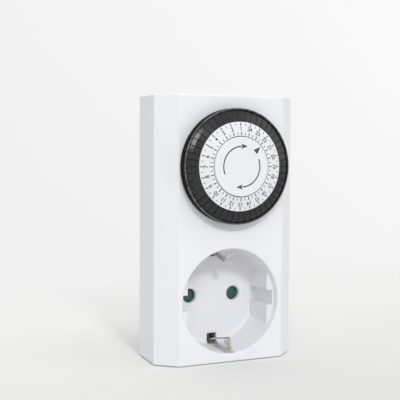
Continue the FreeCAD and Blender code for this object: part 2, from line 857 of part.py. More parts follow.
def movement_plate():
    """Makes the plate that carries the motor, the axle and the spindle."""
    low = plate_bottom_z
    step = switch_low_z - plate_step_gap
    plate = front_prism([(-plate_left, low), (plate_right, low), (plate_right, step),
                         (plate_notch_x, step), (plate_notch_x, plate_top_z),
                         (-plate_left, plate_top_z)], plate_front, plate_back)
    cuts = [rod(0, dial_z, spindle_r + pin_fit, 0, plate_back + 1),
            rod(reduction_x, reduction_z, axle_r + pin_fit, 0, plate_back + 1),
            rod(motor_shaft_x, motor_shaft_z, axle_r + 0.6, 0, plate_back + 1)]
    for x, z in plate_posts:
        cuts.append(rod(x, z, small_screw_r + plate_hole_gap, 0, plate_back + 1))
    return plate.cut(cuts)


def plate_screws():
    """Makes the small screws that hold the movement plate."""
    screws = []
    for x, z in plate_posts:
        shank = rod(x, z, small_screw_r, plate_back - small_screw_length, plate_back)
        head = rod(x, z, small_screw_head_r, plate_back, plate_back + small_screw_head_thick)
        slot = box(x - small_screw_head_r, x + small_screw_head_r,
                   plate_back + small_screw_head_thick - 0.5,
                   plate_back + small_screw_head_thick + 1, z - 0.25, z + 0.25)
        screws.append(shank.fuse(head).cut(slot))
    return Part.makeCompound(screws)


def switch_lever():
    """Makes the lever whose nose reads the pressed segments."""
    half = lever_width / 2
    arm = box(reader_x - half, reader_x + half, lever_front, lever_back, lever_low_z,
              lever_pivot_z)
    barrel = Part.makeCylinder(lever_boss_r, lever_width,
                               V(reader_x - half, lever_pivot_depth, lever_pivot_z),
                               V(1, 0, 0))
    low = reader_z - nose_height / 2
    high = reader_z + nose_height / 2
    nose = side_prism([(lever_front, low), (-nose_proud + 0.3, low), (-nose_proud, low + 0.3),
                       (-nose_proud, high - 0.3), (-nose_proud + 0.3, high),
                       (lever_front, high)], reader_x - nose_width / 2,
                      reader_x + nose_width / 2)
    bore = Part.makeCylinder(lever_pin_r + running_gap, lever_width + 2,
                             V(reader_x - half - 1, lever_pivot_depth, lever_pivot_z),
                             V(1, 0, 0))
    return arm.fuse([barrel, nose]).cut(bore)


def lever_pin():
    """Makes the pin that the lever swings on."""
    half = switch_width / 2 + switch_fit + switch_rib
    return Part.makeCylinder(lever_pin_r, 2 * half,
                             V(reader_x - half, lever_pivot_depth, lever_pivot_z),
                             V(1, 0, 0))


def snap_switch():
    """Makes the body of the snap switch."""
    half = switch_width / 2
    body = box(reader_x - half, reader_x + half, switch_front, switch_back, switch_low_z,
               switch_top_z)
    relief = box(reader_x - half - 1, reader_x + half + 1, switch_front - 1,
                 switch_front + 0.9, lever_pivot_z - 4, switch_top_z + 1)
    hole = rod(reader_x, plunger_z, plunger_r + plunger_fit, 0,
               switch_front + plunger_depth_inside + plunger_travel + 0.3)
    return body.cut([relief, hole])


def switch_plunger():
    """Makes the snap switch's plunger."""
    return rod(reader_x, plunger_z, plunger_r, plunger_tip,
               switch_front + plunger_depth_inside)


def terminal_heights():
    """Gives the heights of the snap switch's three terminals."""
    low = switch_low_z + 2.0
    return [low + n * terminal_spacing for n in range(3)]


def switch_terminals():
    """Makes the snap switch's three terminals."""
    half = terminal_width / 2
    backs = [bus_front, bus_front, bus_front - 1.5]
    return Part.makeCompound([box(reader_x - half, reader_x + half, switch_back, back,
                                  z - terminal_thick / 2, z + terminal_thick / 2)
                              for z, back in zip(terminal_heights(), backs)])


def override_slider():
    """Makes the manual slider with its inner plate and finger."""
    outside = slider_outside_x()
    plate_x = half_width_at(shell_depth) - wall - slider_gap
    inner_x = plate_x - slider_plate_thick
    half = slider_plate_height / 2
    d0 = slider_depth - slider_plate_width / 2
    d1 = slider_depth + slider_plate_width / 2
    plate = box(inner_x, plate_x, d0, d1, slider_z - half, slider_z + half)
    knob = box(plate_x - 0.3, outside + slider_proud,
               slider_depth - slider_knob_width / 2, slider_depth + slider_knob_width / 2,
               slider_z - slider_knob_height / 2, slider_z + slider_knob_height / 2)
    grooves = []
    for n in (-1, 0, 1):
        z = slider_z + n * slider_knob_height / 4
        grooves.append(box(outside + slider_proud - 0.3, outside + 2, 0, shell_depth,
                           z - 0.25, z + 0.25))
    finger_z = slider_z + slider_finger_z
    finger_back = d0 + slider_finger_thick
    arm = box(inner_x, plate_x, d0, finger_back, slider_z + half - 1,
              finger_z + slider_finger_height)
    tip = reader_x + switch_width / 2 + slider_switch_gap
    finger = box(tip, inner_x + 0.3, d0, finger_back, finger_z,
                 finger_z + slider_finger_height)
    return plate.fuse([knob, arm, finger]).cut(grooves)


def shutter():
    """Makes the turning shutter that closes both pin holes."""
    half = shutter_arm / 2
    pieces = [rod(0, socket_z, shutter_hub_r, shutter_front, shutter_back),
              box(-pin_x, pin_x, shutter_front, shutter_back, socket_z - half,
                  socket_z + half)]
    for side in (-1, 1):
        pieces.append(rod(side * pin_x, socket_z, shutter_pad_r, shutter_front, shutter_back))
        pieces.append(cone(side * pin_x, socket_z, shutter_pad_r * 0.45, shutter_pad_r * 0.8,
                           shutter_front - shutter_gap, shutter_front))
    plate = pieces[0].fuse(pieces[1:])
    return plate.cut(rod(0, socket_z, shutter_post_r + running_gap, 0, shutter_back + 1))


def shutter_spring():
    """Makes the coil spring that turns the shutter back."""
    height = spring_turns * spring_pitch
    coil = Part.makeHelix(spring_pitch, height, spring_coil_r)
    profile = Part.Wire(Part.Circle(V(spring_coil_r, 0, 0), V(0, 1, 0),
                                    spring_wire_r).toShape())
    spring = Part.Wire(coil).makePipeShell([profile], True, True)
    spring.rotate(V(0, 0, 0), V(1, 0, 0), -90)
    spring.translate(V(0, shutter_back + spring_wire_r + 0.05, socket_z))
    return spring


def contact_carrier():
    """Makes the insulating carrier with a tower for each contact."""
    bar = box(-carrier_half_width, carrier_half_width, carrier_front, carrier_back,
              socket_z - carrier_half_height, socket_z + carrier_half_height)
    room = rod(0, socket_z, boss_r - boss_wall - 0.3, carrier_front, tower_back)
    bar = bar.common(room)
    towers = []
    cuts = [rod(0, socket_z, shutter_post_r + 0.15, 0, carrier_back + 1),
            rod(0, socket_z, spring_pocket_r, 0, carrier_front + spring_pocket_depth)]
    for side in (-1, 1):
        x = side * pin_x
        towers.append(box(x - tower_half_width, x + tower_half_width, carrier_back - 0.5,
                          tower_back, socket_z - tower_half_height,
                          socket_z + tower_half_height))
        in_x = tower_half_width - tower_wall
        in_z = tower_half_height - tower_wall
        cuts.append(box(x - in_x, x + in_x, carrier_back, tower_back + 1, socket_z - in_z,
                        socket_z + in_z))
        cuts.append(rod(x, socket_z, pin_hole_r, 0, carrier_back + 1))
    return bar.fuse(towers).cut(cuts)


def socket_contact(x):
    """Makes one socket contact: a base and two flared leaves."""
    half = tower_half_width - 0.2
    base = box(x - half, x + half, tower_back, contact_back,
               socket_z - contact_half_height, socket_z + contact_half_height)
    leaves = []
    front = carrier_back + contact_clear
    for side in (-1, 1):
        near = x + side * contact_gap
        far = near + side * contact_leaf
        flare = side * contact_flare
        leaves.append(plan_prism([(near, tower_back + 0.1), (near, front + 2.5),
                                  (near + flare * 0.6, front), (far + flare * 0.6, front),
                                  (far, front + 2.5), (far, tower_back + 0.1)],
                                 socket_z - contact_half_height,
                                 socket_z + contact_half_height))
    return base.fuse(leaves)


def neutral_contact():
    """Makes the contact that is riveted to its plug pin."""
    hole = rod(-pin_x, socket_z, pin_stub_r + pin_fit, tower_back - 1, contact_back + 1)
    return socket_contact(-pin_x).cut(hole)


def line_contact():
    """Makes the switched contact."""
    return socket_contact(pin_x)


def plug_pin(x, neck_front, neck_r, stub_front):
    """Makes one plug pin with its head, neck and rivet stub."""
    tip = boss_back + pin_length
    root = rod(x, socket_z, pin_root_r, pin_head_back, boss_back)
    body = rod(x, socket_z, pin_r, pin_head_back, tip - pin_r * 0.5)
    point = cone(x, socket_z, pin_r, pin_r * 0.45, tip - pin_r * 0.5, tip)
    head = rod(x, socket_z, pin_head_r, pin_head_front, pin_head_back)
    pieces = [point, root, head, rod(x, socket_z, pin_stub_r, stub_front, pin_head_front)]
    if neck_front < pin_head_front:
        pieces.append(rod(x, socket_z, neck_r, neck_front, pin_head_front))
    return body.fuse(pieces)


def line_pin():
    """Makes the plug pin that feeds the snap switch."""
    return plug_pin(pin_x, pin_head_front, pin_stub_r, pin_head_front - strip_thick)


def neutral_pin():
    """Makes the plug pin that carries its own socket contact."""
    return plug_pin(-pin_x, contact_back, pin_head_r * 0.8, tower_back)


def line_bus():
    """Makes the strip from the line pin to the snap switch."""
    half = line_bus_width / 2
    x0 = line_bus_x - half
    x1 = line_bus_x + half
    rise = socket_z + line_bus_rise
    back = pin_head_front
    foot = box(x0, x1, back - strip_thick, back, socket_z - half - 0.6, rise)
    run = box(x0, x1, bus_front, back, rise - strip_thick, rise)
    climb = box(x0, x1, bus_front, bus_back, rise - strip_thick,
                terminal_heights()[0] + half * 0.8)
    hole = rod(pin_x, socket_z, pin_stub_r + pin_fit, back - strip_thick - 1, back + 1)
    return foot.fuse([run, climb]).cut(hole)


def load_bus():
    """Makes the strip from the snap switch to the switched contact."""
    x0 = load_bus_x - load_bus_width / 2
    x1 = load_bus_x + load_bus_width / 2
    rise = socket_z + load_bus_rise
    back = contact_back + strip_thick
    top = terminal_heights()[1] + load_bus_width / 2
    foot = box(x0, pin_x + tower_half_width - 1, contact_back, back,
               socket_z - load_bus_width / 2, socket_z + load_bus_width / 2)
    post = box(x0, x1, contact_back, back, socket_z - load_bus_width / 2, rise)
    run = box(x0, x1, bus_front, back, rise - strip_thick, rise)
    climb = box(x0, x1, bus_front, bus_back, rise - strip_thick, top)
    head = box(x0, reader_x + terminal_width / 2, bus_front, bus_back,
               top - load_bus_width, top)
    return foot.fuse([post, run, climb, head])


def earth_clip(side):
    """Makes one bent earth clip; side is -1 for the lower and 1 for the upper."""
    def place(depth, rise):
        return depth, socket_z + side * (well_r - rise)

    line = [place(bridge_front(), earth_tail_rise), place(well_depth - 0.5, earth_tail_rise),
            place(earth_apex_depth + 0.6, earth_apex_rise - 0.1),
            place(earth_apex_depth - 0.3, earth_apex_rise - 0.2),
            place(earth_end_depth, earth_end_rise)]
    return strip(line, earth_thick, -earth_width / 2, earth_width / 2)


def bridge_front():
    """Gives the depth where the earth bridge meets the clips."""
    return floor_back + bridge_behind_floor


def bridge_back():
    """Gives the depth of the earth bridge behind the carrier."""
    return carrier_back + bridge_behind_carrier + strip_thick


def earth_bridge():
    """Makes the strap that joins the clips to the plug's earth contacts."""
    half = bridge_width / 2
    front = bridge_front()
    back = bridge_back()
    pieces = []
    reach = well_r - bridge_rise
    pieces.append(box(-half, half, back - strip_thick, back, socket_z - reach,
                      socket_z + reach))
    for side in (-1, 1):
        z0, z1 = sorted((socket_z + side * reach, socket_z + side * (reach - strip_thick)))
        pieces.append(box(-half, half, front, back, z0, z1))
        z0, z1 = sorted((socket_z + side * (reach - strip_thick),
                         socket_z + side * (well_r - earth_tail_rise + bridge_seat)))
        pieces.append(box(-half, half, front, front + strip_thick, z0, z1))
    return pieces[0].fuse(pieces[1:])


def plug_earth_front():
    """Gives the depth where the plug's earth contacts pass the boss wall."""
    return cover_back + plug_earth_depth


def plug_earth_contacts():
    """Makes the two earth contacts on the wall plug."""
    half = bridge_width / 2
    front = plug_earth_front() + 0.1
    pieces = []
    for side in (-1, 1):
        outer = side * (boss_r - boss_strap_recess + strip_thick)
        inner = side * (boss_r - boss_strap_recess)
        reach = side * (well_r - bridge_rise)
        z0, z1 = sorted((socket_z + outer, socket_z + inner))
        cheek = box(-half, half, front, boss_back - 0.4, z0, z1)
        z0, z1 = sorted((socket_z + outer, socket_z + reach - side * strip_thick))
        leg = box(-half, half, front, front + strip_thick, z0, z1)
        z0, z1 = sorted((socket_z + reach, socket_z + reach - side * strip_thick))
        tail = box(-half, half, bridge_back(), front + strip_thick, z0, z1)
        pieces.append(cheek.fuse([leg, tail]))
    return Part.makeCompound(pieces)


def motor_leads():
    """Makes the motor's solder pin to the line strip and its lead to the neutral."""
    motor_back = plate_back + motor_depth
    pin = rod(line_bus_x, motor_z - motor_r * solder_pin_share, lead_r, motor_back, bus_front)
    depth = bus_front + lead_r + lead_bus_gap
    x = -pin_x
    start_x = motor_x - lead_start_x
    start_z = motor_z - lead_start_drop
    turn_z = socket_z + carrier_half_height + lead_bend + lead_r + lead_turn_gap
    far = tower_back + lead_r + lead_tower_gap
    lead = wire_tube([V(start_x, motor_back, start_z),
                      V(start_x, depth, start_z),
                      V(x, depth, motor_z - lead_cross_drop),
                      V(x, depth, turn_z),
                      V(x, far, turn_z),
                      V(x, far, socket_z + contact_half_height)], lead_r, lead_bend)
    return Part.makeCompound([pin, lead])


def save(node, shape):
    """Writes one node's solids, moved so that the whole part is centred on Y."""
    placed = shape.copy()
    placed.translate(V(0, y_front, 0))
    placed.exportStep("parts/" + node + ".step")
    solids = placed.Solids
    print(node, len(solids), "solids", round(sum(s.Volume for s in solids), 2), "mm3",
          "valid" if placed.isValid() else "NOT VALID")


def main():
    """Builds every node and writes it."""
    os.makedirs("parts", exist_ok=True)
    nodes = {
        "front_housing": front_housing(),
        "rear_cover": rear_cover(),
        "case_screws": case_screws(),
        "movement_plate": movement_plate(),
        "plate_screws": plate_screws(),
        "dial_wheel": dial_wheel(),
        "number_ring": number_ring(),
        "centre_cap": centre_cap(),
        "dial_spindle": spindle(),
        "dial_gear": dial_gear(),
        "clutch_spring": clutch_spring(),
        "reduction_gear": reduction_gear(),
        "reduction_axle": reduction_axle(),
        "motor": motor(),
        "motor_pinion": motor_pinion(),
        "motor_leads": motor_leads(),
        "switch_lever": switch_lever(),
        "lever_pin": lever_pin(),
        "snap_switch": snap_switch(),
        "switch_plunger": switch_plunger(),
        "switch_terminals": switch_terminals(),
        "override_slider": override_slider(),
        "shutter": shutter(),
        "shutter_spring": shutter_spring(),
        "contact_carrier": contact_carrier(),
        "line_contact": line_contact(),
        "neutral_contact": neutral_contact(),
        "line_pin": line_pin(),
        "neutral_pin": neutral_pin(),
        "line_bus": line_bus(),
        "load_bus": load_bus(),
        "earth_clip_lower": earth_clip(-1),
        "earth_clip_upper": earth_clip(1),
        "earth_bridge": earth_bridge(),
        "plug_earth_contacts": plug_earth_contacts(),
    }
    for hour in range(1, hours + 1):
        nodes["segments_hour_%02d" % hour] = hour_segments(hour)
    for node, shape in nodes.items():
        save(node, shape)
    print(len(nodes), "nodes, total depth", total_depth, "front at", y_front)


main()
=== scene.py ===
"""A plug-in timer switch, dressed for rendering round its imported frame.

The frame gives every piece its size and place. This script adds the segments' rounded caps,
the rounded earth clips, the prints of the dial, the finishes of all surfaces, a pale studio
and the camera. Lengths are in metres, X runs across the timer, Y from the dial towards the
wall plug, and Z up.
"""
import logging
import math
from collections.abc import Callable, Iterator
from contextlib import contextmanager
from dataclasses import dataclass, field
from enum import Enum

import bpy
from mathutils import Matrix, Vector

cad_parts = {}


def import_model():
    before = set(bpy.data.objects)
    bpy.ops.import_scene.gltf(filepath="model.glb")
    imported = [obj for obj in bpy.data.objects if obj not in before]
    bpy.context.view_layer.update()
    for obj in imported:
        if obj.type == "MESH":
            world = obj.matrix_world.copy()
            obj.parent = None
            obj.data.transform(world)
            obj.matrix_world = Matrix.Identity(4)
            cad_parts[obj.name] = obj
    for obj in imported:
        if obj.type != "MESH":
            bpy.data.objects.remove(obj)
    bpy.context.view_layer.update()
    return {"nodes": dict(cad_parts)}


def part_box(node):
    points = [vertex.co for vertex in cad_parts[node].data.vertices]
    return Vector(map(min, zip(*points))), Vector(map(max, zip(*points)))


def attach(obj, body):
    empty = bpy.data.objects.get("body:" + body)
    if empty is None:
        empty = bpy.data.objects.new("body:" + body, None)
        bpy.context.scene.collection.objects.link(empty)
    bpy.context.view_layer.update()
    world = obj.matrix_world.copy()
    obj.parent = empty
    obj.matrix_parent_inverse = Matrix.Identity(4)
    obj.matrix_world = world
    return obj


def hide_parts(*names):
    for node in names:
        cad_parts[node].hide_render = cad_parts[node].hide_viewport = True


log = logging.getLogger("timer")
MM = 0.001
# Two points nearer to each other than this are one point. The angles below are in degrees.
SAME_PLACE = 1e-7
SHARP_ANGLE = 25.0
SMOOTH_ANGLE = 35.0
IMAGE_SIZE = 400
HOURS = 24
HOUR_ANGLE = 360.0 / HOURS
TOP_ANGLE = 90.0

Piece = bpy.types.Object
Value = bpy.types.NodeSocket
Tree = bpy.types.NodeTree
Finish = bpy.types.Material
Pair = tuple[float, float]
Triple = tuple[float, float, float]
Colour = Triple


class DialFace(Enum):
    """The two printed faces of the dial."""

    RING = "sloping number ring"
    CAP = "flat centre cap"


class ClipEnd(Enum):
    """The two earth clips of the socket, by the way that they bend."""

    LOWER = -1
    UPPER = 1


class Selection(Enum):
    """What becomes selected in a mesh when it is opened."""

    ALL = "SELECT"
    NONE = "DESELECT"


def clear_selection() -> None:
    """Deselects every object."""
    bpy.ops.object.select_all(action="DESELECT")


def activate(piece: Piece) -> None:
    """Selects one object alone and makes it active.

    Args:
        piece: The object to work on.
    """
    clear_selection()
    piece.select_set(True)
    bpy.context.view_layer.objects.active = piece


def settle(piece: Piece) -> Piece:
    """Moves an object's place into its mesh, so that it sits at the origin unturned.

    Args:
        piece: The object to settle.

    Returns:
        The same object.
    """
    activate(piece)
    bpy.ops.object.transform_apply(location=True, rotation=True, scale=True)
    return piece


def join_pieces(name: str, pieces: list[Piece]) -> Piece:
    """Joins objects into one named piece.

    Args:
        name: The name of the joined piece.
        pieces: The objects to join; the first one stays.

    Returns:
        The joined piece.
    """
    clear_selection()
    for piece in pieces:
        piece.select_set(True)
    bpy.context.view_layer.objects.active = pieces[0]
    bpy.ops.object.join()
    pieces[0].name = name
    pieces[0].data.name = name
    return pieces[0]


def copy_piece(model: Piece) -> Piece:
    """Copies an object with a mesh of its own.

    Args:
        model: The object to copy.

    Returns:
        The copy.
    """
    copy = model.copy()
    copy.data = model.data.copy()
    bpy.context.scene.collection.objects.link(copy)
    return copy


@contextmanager
def edit_mode(selection: Selection | None = None) -> Iterator[None]:
    """Opens the active object's mesh for the lines of a with block.

    Args:
        selection: What becomes selected in it; without this, nothing changes.
    """
    bpy.ops.object.mode_set(mode="EDIT")
    if selection:
        bpy.ops.mesh.select_all(action=selection.value)
    yield
    bpy.ops.object.mode_set(mode="OBJECT")


def select_edges(piece: Piece, wanted: Callable[[Vector, Vector], bool]) -> None:
    """Makes an object active and selects some of its edges alone.

    Args:
        piece: The object.
        wanted: Tells by the two ends of an edge whether it is selected.
    """
    activate(piece)
    with edit_mode(Selection.NONE):
        bpy.ops.mesh.select_mode(type="EDGE")
    for edge in piece.data.edges:
        first, second = (piece.data.vertices[i].co for i in edge.vertices)
        edge.select = wanted(first, second)


def extend_selected(move: Triple | Vector, selection: Selection | None = None) -> None:
    """Draws new faces out of the selected part of the active object's mesh."""
    with edit_mode(selection):
        bpy.ops.mesh.extrude_region_move(TRANSFORM_OT_translate={"value": tuple(move)})


def bevel_selected(reach: float, steps: int, ends_only: bool = False) -> None:
    """Bevels the selected edges of the active object, or only their ends."""
    with edit_mode():
        bpy.ops.mesh.bevel(offset=reach, segments=steps,
                           affect="VERTICES" if ends_only else "EDGES")


def outward_normals(piece: Piece) -> None:
    """Merges doubled points and turns every face of a closed mesh outwards.

    Args:
        piece: The object to put in order.
    """
    activate(piece)
    with edit_mode(Selection.ALL):
        bpy.ops.mesh.remove_doubles(threshold=SAME_PLACE)
        bpy.ops.mesh.normals_make_consistent(inside=False)


def close_ends(piece: Piece) -> None:
    """Fills the open ends of a swept strip.

    Args:
        piece: The strip's object.
    """
    activate(piece)
    with edit_mode(Selection.NONE):
        bpy.ops.mesh.select_non_manifold()
        bpy.ops.mesh.edge_face_add()


def flat_outline(name: str, outline: list[Vector]) -> Piece:
    """Makes one flat face with the given corners.

    Args:
        name: The face's name.
        outline: Its corners in order.

    Returns:
        The face's object.
    """
    bpy.ops.mesh.primitive_circle_add(vertices=len(outline), radius=1.0, fill_type="NGON")
    piece = bpy.context.active_object
    piece.name = name
    for vertex, corner in zip(piece.data.vertices, outline):
        vertex.co = corner
    return piece


def flat_mark(name: str, outline: list[Pair]) -> Piece:
    """Raises a flat outline by 1 along Z, ready to be laid on the dial.

    Args:
        name: The mark's name.
        outline: Its corners in the XY plane.

    Returns:
        The mark's object.
    """
    mark = flat_outline(name, [Vector((x, y, 0.0)) for x, y in outline])
    extend_selected((0.0, 0.0, 1.0), Selection.ALL)
    return mark


def block(middle: Triple | Vector, size: Triple) -> Piece:
    """Makes a block.

    Args:
        middle: Its middle.
        size: Its lengths along X, Y and Z.

    Returns:
        The block's object.
    """
    bpy.ops.mesh.primitive_cube_add(size=1.0, location=middle)
    piece = bpy.context.active_object
    piece.scale = size
    return settle(piece)


def round_edges(piece: Piece, width: float, steps: int,
                smooth_angle: float = SMOOTH_ANGLE) -> None:
    """Rounds the sharp edges of a closed piece and smooths its shading.

    Args:
        piece: The object to round.
        width: How far the rounding reaches from an edge.
        steps: How many faces make up the rounding.
        smooth_angle: Degrees between two faces up to which they are shaded as one.
    """
    activate(piece)
    bevel = piece.modifiers.new("rounding", "BEVEL")
    bevel.width = width
    bevel.segments = steps
    bevel.limit_method = "ANGLE"
    bevel.angle_limit = math.radians(SHARP_ANGLE)
    bpy.ops.object.modifier_apply(modifier=bevel.name)
    bpy.ops.object.shade_smooth_by_angle(angle=math.radians(smooth_angle))


def add_place(tree: Tree) -> Value:
    """Gives a point's place on its piece."""
    return tree.nodes.new("ShaderNodeTexCoord").outputs["Object"]


def add_noise(tree: Tree, place: Value, scale: float, detail: float) -> Value:
    """Adds an uneven pattern.

    Args:
        tree: The nodes to add to.
        place: The place that the pattern follows.
        scale: How many of its spots fit in a metre.
        detail: How finely they are broken up.

    Returns:
        The pattern's value, from 0 to 1.
    """
    noise = tree.nodes.new("ShaderNodeTexNoise")
    noise.inputs["Scale"].default_value = scale
    noise.inputs["Detail"].default_value = detail
    tree.links.new(place, noise.inputs["Vector"])
    return noise.outputs["Fac"]


def add_range(tree: Tree, value: Value, source: Pair, target: Pair = (0.0, 1.0)) -> Value:
    """Maps a value from one range to another and holds it within that.

    Args:
        tree: The nodes to add to.
        value: The value to map.
        source: The two ends of its own range.
        target: What these two become.

    Returns:
        The mapped value.
    """
    span = tree.nodes.new("ShaderNodeMapRange")
    for name, number in zip(("From Min", "From Max", "To Min", "To Max"), source + target):
        span.inputs[name].default_value = number
    tree.links.new(value, span.inputs["Value"])
    return span.outputs["Result"]


def add_ramp(tree: Tree, value: Value, stops: list[tuple[float, Colour]]) -> Value:
    """Turns a value into a colour.

    Args:
        tree: The nodes to add to.
        value: The value, from 0 to 1.
        stops: Two or more values with their colours, from low to high.

    Returns:
        The colour.
    """
    ramp = tree.nodes.new("ShaderNodeValToRGB")
    elements = ramp.color_ramp.elements
    for element, (position, colour) in zip(elements, (stops[0], stops[-1])):
        element.position = position
        element.color = (*colour, 1.0)
    for position, colour in stops[1:-1]:
        elements.new(position).color = (*colour, 1.0)
    tree.links.new(value, ramp.inputs["Fac"])
    return ramp.outputs["Color"]


def add_math(tree: Tree, operation: str, first: Value, second: Value) -> Value:
    """Makes one value of two.

    Args:
        tree: The nodes to add to.
        operation: What is done with them.
        first: The first value.
        second: The second value.

    Returns:
        The new value.
    """
    step = tree.nodes.new("ShaderNodeMath")
    step.operation = operation
    tree.links.new(first, step.inputs[0])
    tree.links.new(second, step.inputs[1])
    return step.outputs["Value"]


def add_vector_math(tree: Tree, operation: str, place: Value,
                    other: Triple = (0.0, 0.0, 0.0)) -> Value:
    """Works on a place.

    Args:
        tree: The nodes to add to.
        operation: What is done with it.
        place: The place.
        other: The fixed vector that the operation needs, if any.

    Returns:
        The new place, or one number for LENGTH and DOT_PRODUCT.
    """
    step = tree.nodes.new("ShaderNodeVectorMath")
    step.operation = operation
    step.inputs[1].default_value = other
    tree.links.new(place, step.inputs[0])
    return step.outputs["Value" if operation in ("LENGTH", "DOT_PRODUCT") else "Vector"]


def add_mix(tree: Tree, share: Value, first: Value, second: Value) -> Value:
    """Mixes two shadings.

    Args:
        tree: The nodes to add to.
        share: How much of the second one there is, from 0 to 1.
        first: The first shading.
        second: The second shading.

    Returns:
        The mixed shading.
    """
    mix = tree.nodes.new("ShaderNodeMixShader")
    for source, target in zip((share, first, second), mix.inputs):
        tree.links.new(source, target)
    return mix.outputs["Shader"]


def add_bump(tree: Tree, height: Value, strength: float, distance: float) -> None:
    """Raises a finish's surface by a pattern.

    Args:
        tree: The finish's nodes.
        height: The pattern.
        strength: How much of it shows.
        distance: How high its highest points stand.
    """
    bump = tree.nodes.new("ShaderNodeBump")
    bump.inputs["Strength"].default_value = strength
    bump.inputs["Distance"].default_value = distance
    tree.links.new(height, bump.inputs["Height"])
    tree.links.new(bump.outputs["Normal"], tree.nodes["Principled BSDF"].inputs["Normal"])


def new_material(name: str) -> Finish:
    """Starts a node material.

    Args:
        name: Its name.

    Returns:
        The material, with a plain shader.
    """
    material = bpy.data.materials.new(name)
    material.use_nodes = True
    return material


@dataclass(frozen=True)
class MouldedPlastic:
    """A moulded plastic with a faint grain and a slight unevenness of tone."""

    name: str
    colour: Colour
    roughness: float = 0.4
    specular: float = 0.4
    tone_change: float = 0.03
    roughness_change: float = 0.05
    cloud_scale: float = 60.0
    cloud_band: Pair = (0.3, 0.7)
    grain_size: float = 0.35 * MM
    grain_height: float = 0.004 * MM
    grain_strength: float = 0.35

    def build(self) -> Finish:
        """Builds the finish.

        Returns:
            The node material.
        """
        material = new_material(self.name)
        tree = material.node_tree
        shader = tree.nodes["Principled BSDF"]
        shader.inputs["Specular IOR Level"].default_value = self.specular
        place = add_place(tree)
        cloud = add_noise(tree, place, self.cloud_scale, detail=3.0)
        tones = [tuple(c * share for c in self.colour)
                 for share in (1.0 - self.tone_change, 1.0 + self.tone_change)]
        stops = list(zip(self.cloud_band, tones))
        tree.links.new(add_ramp(tree, cloud, stops), shader.inputs["Base Color"])
        band = (self.roughness - self.roughness_change, self.roughness + self.roughness_change)
        tree.links.new(add_range(tree, cloud, (0.0, 1.0), band), shader.inputs["Roughness"])
        grain = add_noise(tree, place, 1.0 / self.grain_size, detail=2.0)
        add_bump(tree, grain, self.grain_strength, self.grain_height)
        return material


@dataclass(frozen=True)
class RimPlastic:
    """A matt black plastic with a painted highlight on its outer front edge and painted light on
    its front face.
    """

    name: str
    side_colour: Colour
    edge_colour: Colour
    centre: Triple
    edge_r: float
    edge_y: float
    worn_from: float = 0.3 * MM
    worn_to: float = 0.18 * MM
    front_wear: float = 0.45
    scuff_scale: float = 900.0
    scuff_loss: float = 0.08
    full_wear: float = 0.6
    roughness: float = 0.55
    specular: float = 0.03

    def wear(self, tree: Tree, place: Value) -> Value:
        """Works out the painted highlight: how near a point is to the outer front edge.

        Args:
            tree: The nodes to add to.
            place: The point's place.

        Returns:
            A share of painted light that is 1 on the edge, less on the front and 0 on the side.
        """
        depth = add_vector_math(tree, "DOT_PRODUCT", place, (0.0, 1.0, 0.0))
        near_front = add_range(tree, depth,
                               (self.edge_y + self.worn_from, self.edge_y + self.worn_to))
        from_axis = add_vector_math(tree, "SUBTRACT", place, self.centre)
        across = add_vector_math(tree, "MULTIPLY", from_axis, (1.0, 0.0, 1.0))
        radius = add_vector_math(tree, "LENGTH", across)
        near_side = add_range(tree, radius,
                              (self.edge_r - self.worn_from, self.edge_r - self.worn_to),
                              (self.front_wear, 1.0))
        return add_math(tree, "MULTIPLY", near_front, near_side)

    def build(self) -> Finish:
        """Builds the finish.

        Returns:
            The node material.
        """
        plain = MouldedPlastic(self.name, self.side_colour, self.roughness, self.specular)
        material = plain.build()
        tree = material.node_tree
        place = add_place(tree)
        # Painted highlight on the outer front edge and painted light on the front face, broken
        # up by noise.
        share = tree.nodes.new("ShaderNodeMath")
        share.operation = "MULTIPLY_ADD"
        share.inputs[2].default_value = -self.scuff_loss
        share.use_clamp = True
        tree.links.new(self.wear(tree, place), share.inputs[0])
        tree.links.new(add_noise(tree, place, self.scuff_scale, detail=2.0), share.inputs[1])
        tones = add_ramp(tree, share.outputs["Value"],
                         [(0.0, self.side_colour), (self.full_wear, self.edge_colour)])
        tree.links.new(tones, tree.nodes["Principled BSDF"].inputs["Base Color"])
        return material


@dataclass(frozen=True)
class PlatedMetal:
    """A metal with fine rolled or turned lines and small stains."""

    name: str
    colour: Colour
    stain: Colour
    roughness: float = 0.25
    roughness_band: Pair = (0.7, 1.5)
    stain_scale: float = 450.0
    stain_band: Pair = (0.35, 0.6)
    line_stretch: Triple = (300.0, 4000.0, 300.0)
    line_height: float = 0.003 * MM
    line_strength: float = 0.3

    def build(self) -> Finish:
        """Builds the finish.

        Returns:
            The node material.
        """
        material = new_material(self.name)
        tree = material.node_tree
        shader = tree.nodes["Principled BSDF"]
        shader.inputs["Metallic"].default_value = 1.0
        place = add_place(tree)
        stains = add_noise(tree, place, self.stain_scale, detail=3.0)
        stops = list(zip(self.stain_band, (self.stain, self.colour)))
        tree.links.new(add_ramp(tree, stains, stops), shader.inputs["Base Color"])
        stretch = tree.nodes.new("ShaderNodeMapping")
        stretch.inputs["Scale"].default_value = self.line_stretch
        tree.links.new(place, stretch.inputs["Vector"])
        lines = add_noise(tree, stretch.outputs["Vector"], scale=1.0, detail=4.0)
        band = tuple(self.roughness * share for share in self.roughness_band)
        tree.links.new(add_range(tree, lines, (0.0, 1.0), band), shader.inputs["Roughness"])
        add_bump(tree, lines, self.line_strength, self.line_height)
        return material


@dataclass(frozen=True)
class PrintingInk:
    """A thin printed ink, slightly broken up by the plastic's grain."""

    name: str
    colour: Colour

    def build(self) -> Finish:
        """Builds the node material and returns it."""
        return MouldedPlastic(self.name, self.colour, roughness=0.5, specular=0.3,
                              tone_change=0.15, grain_size=0.15 * MM).build()


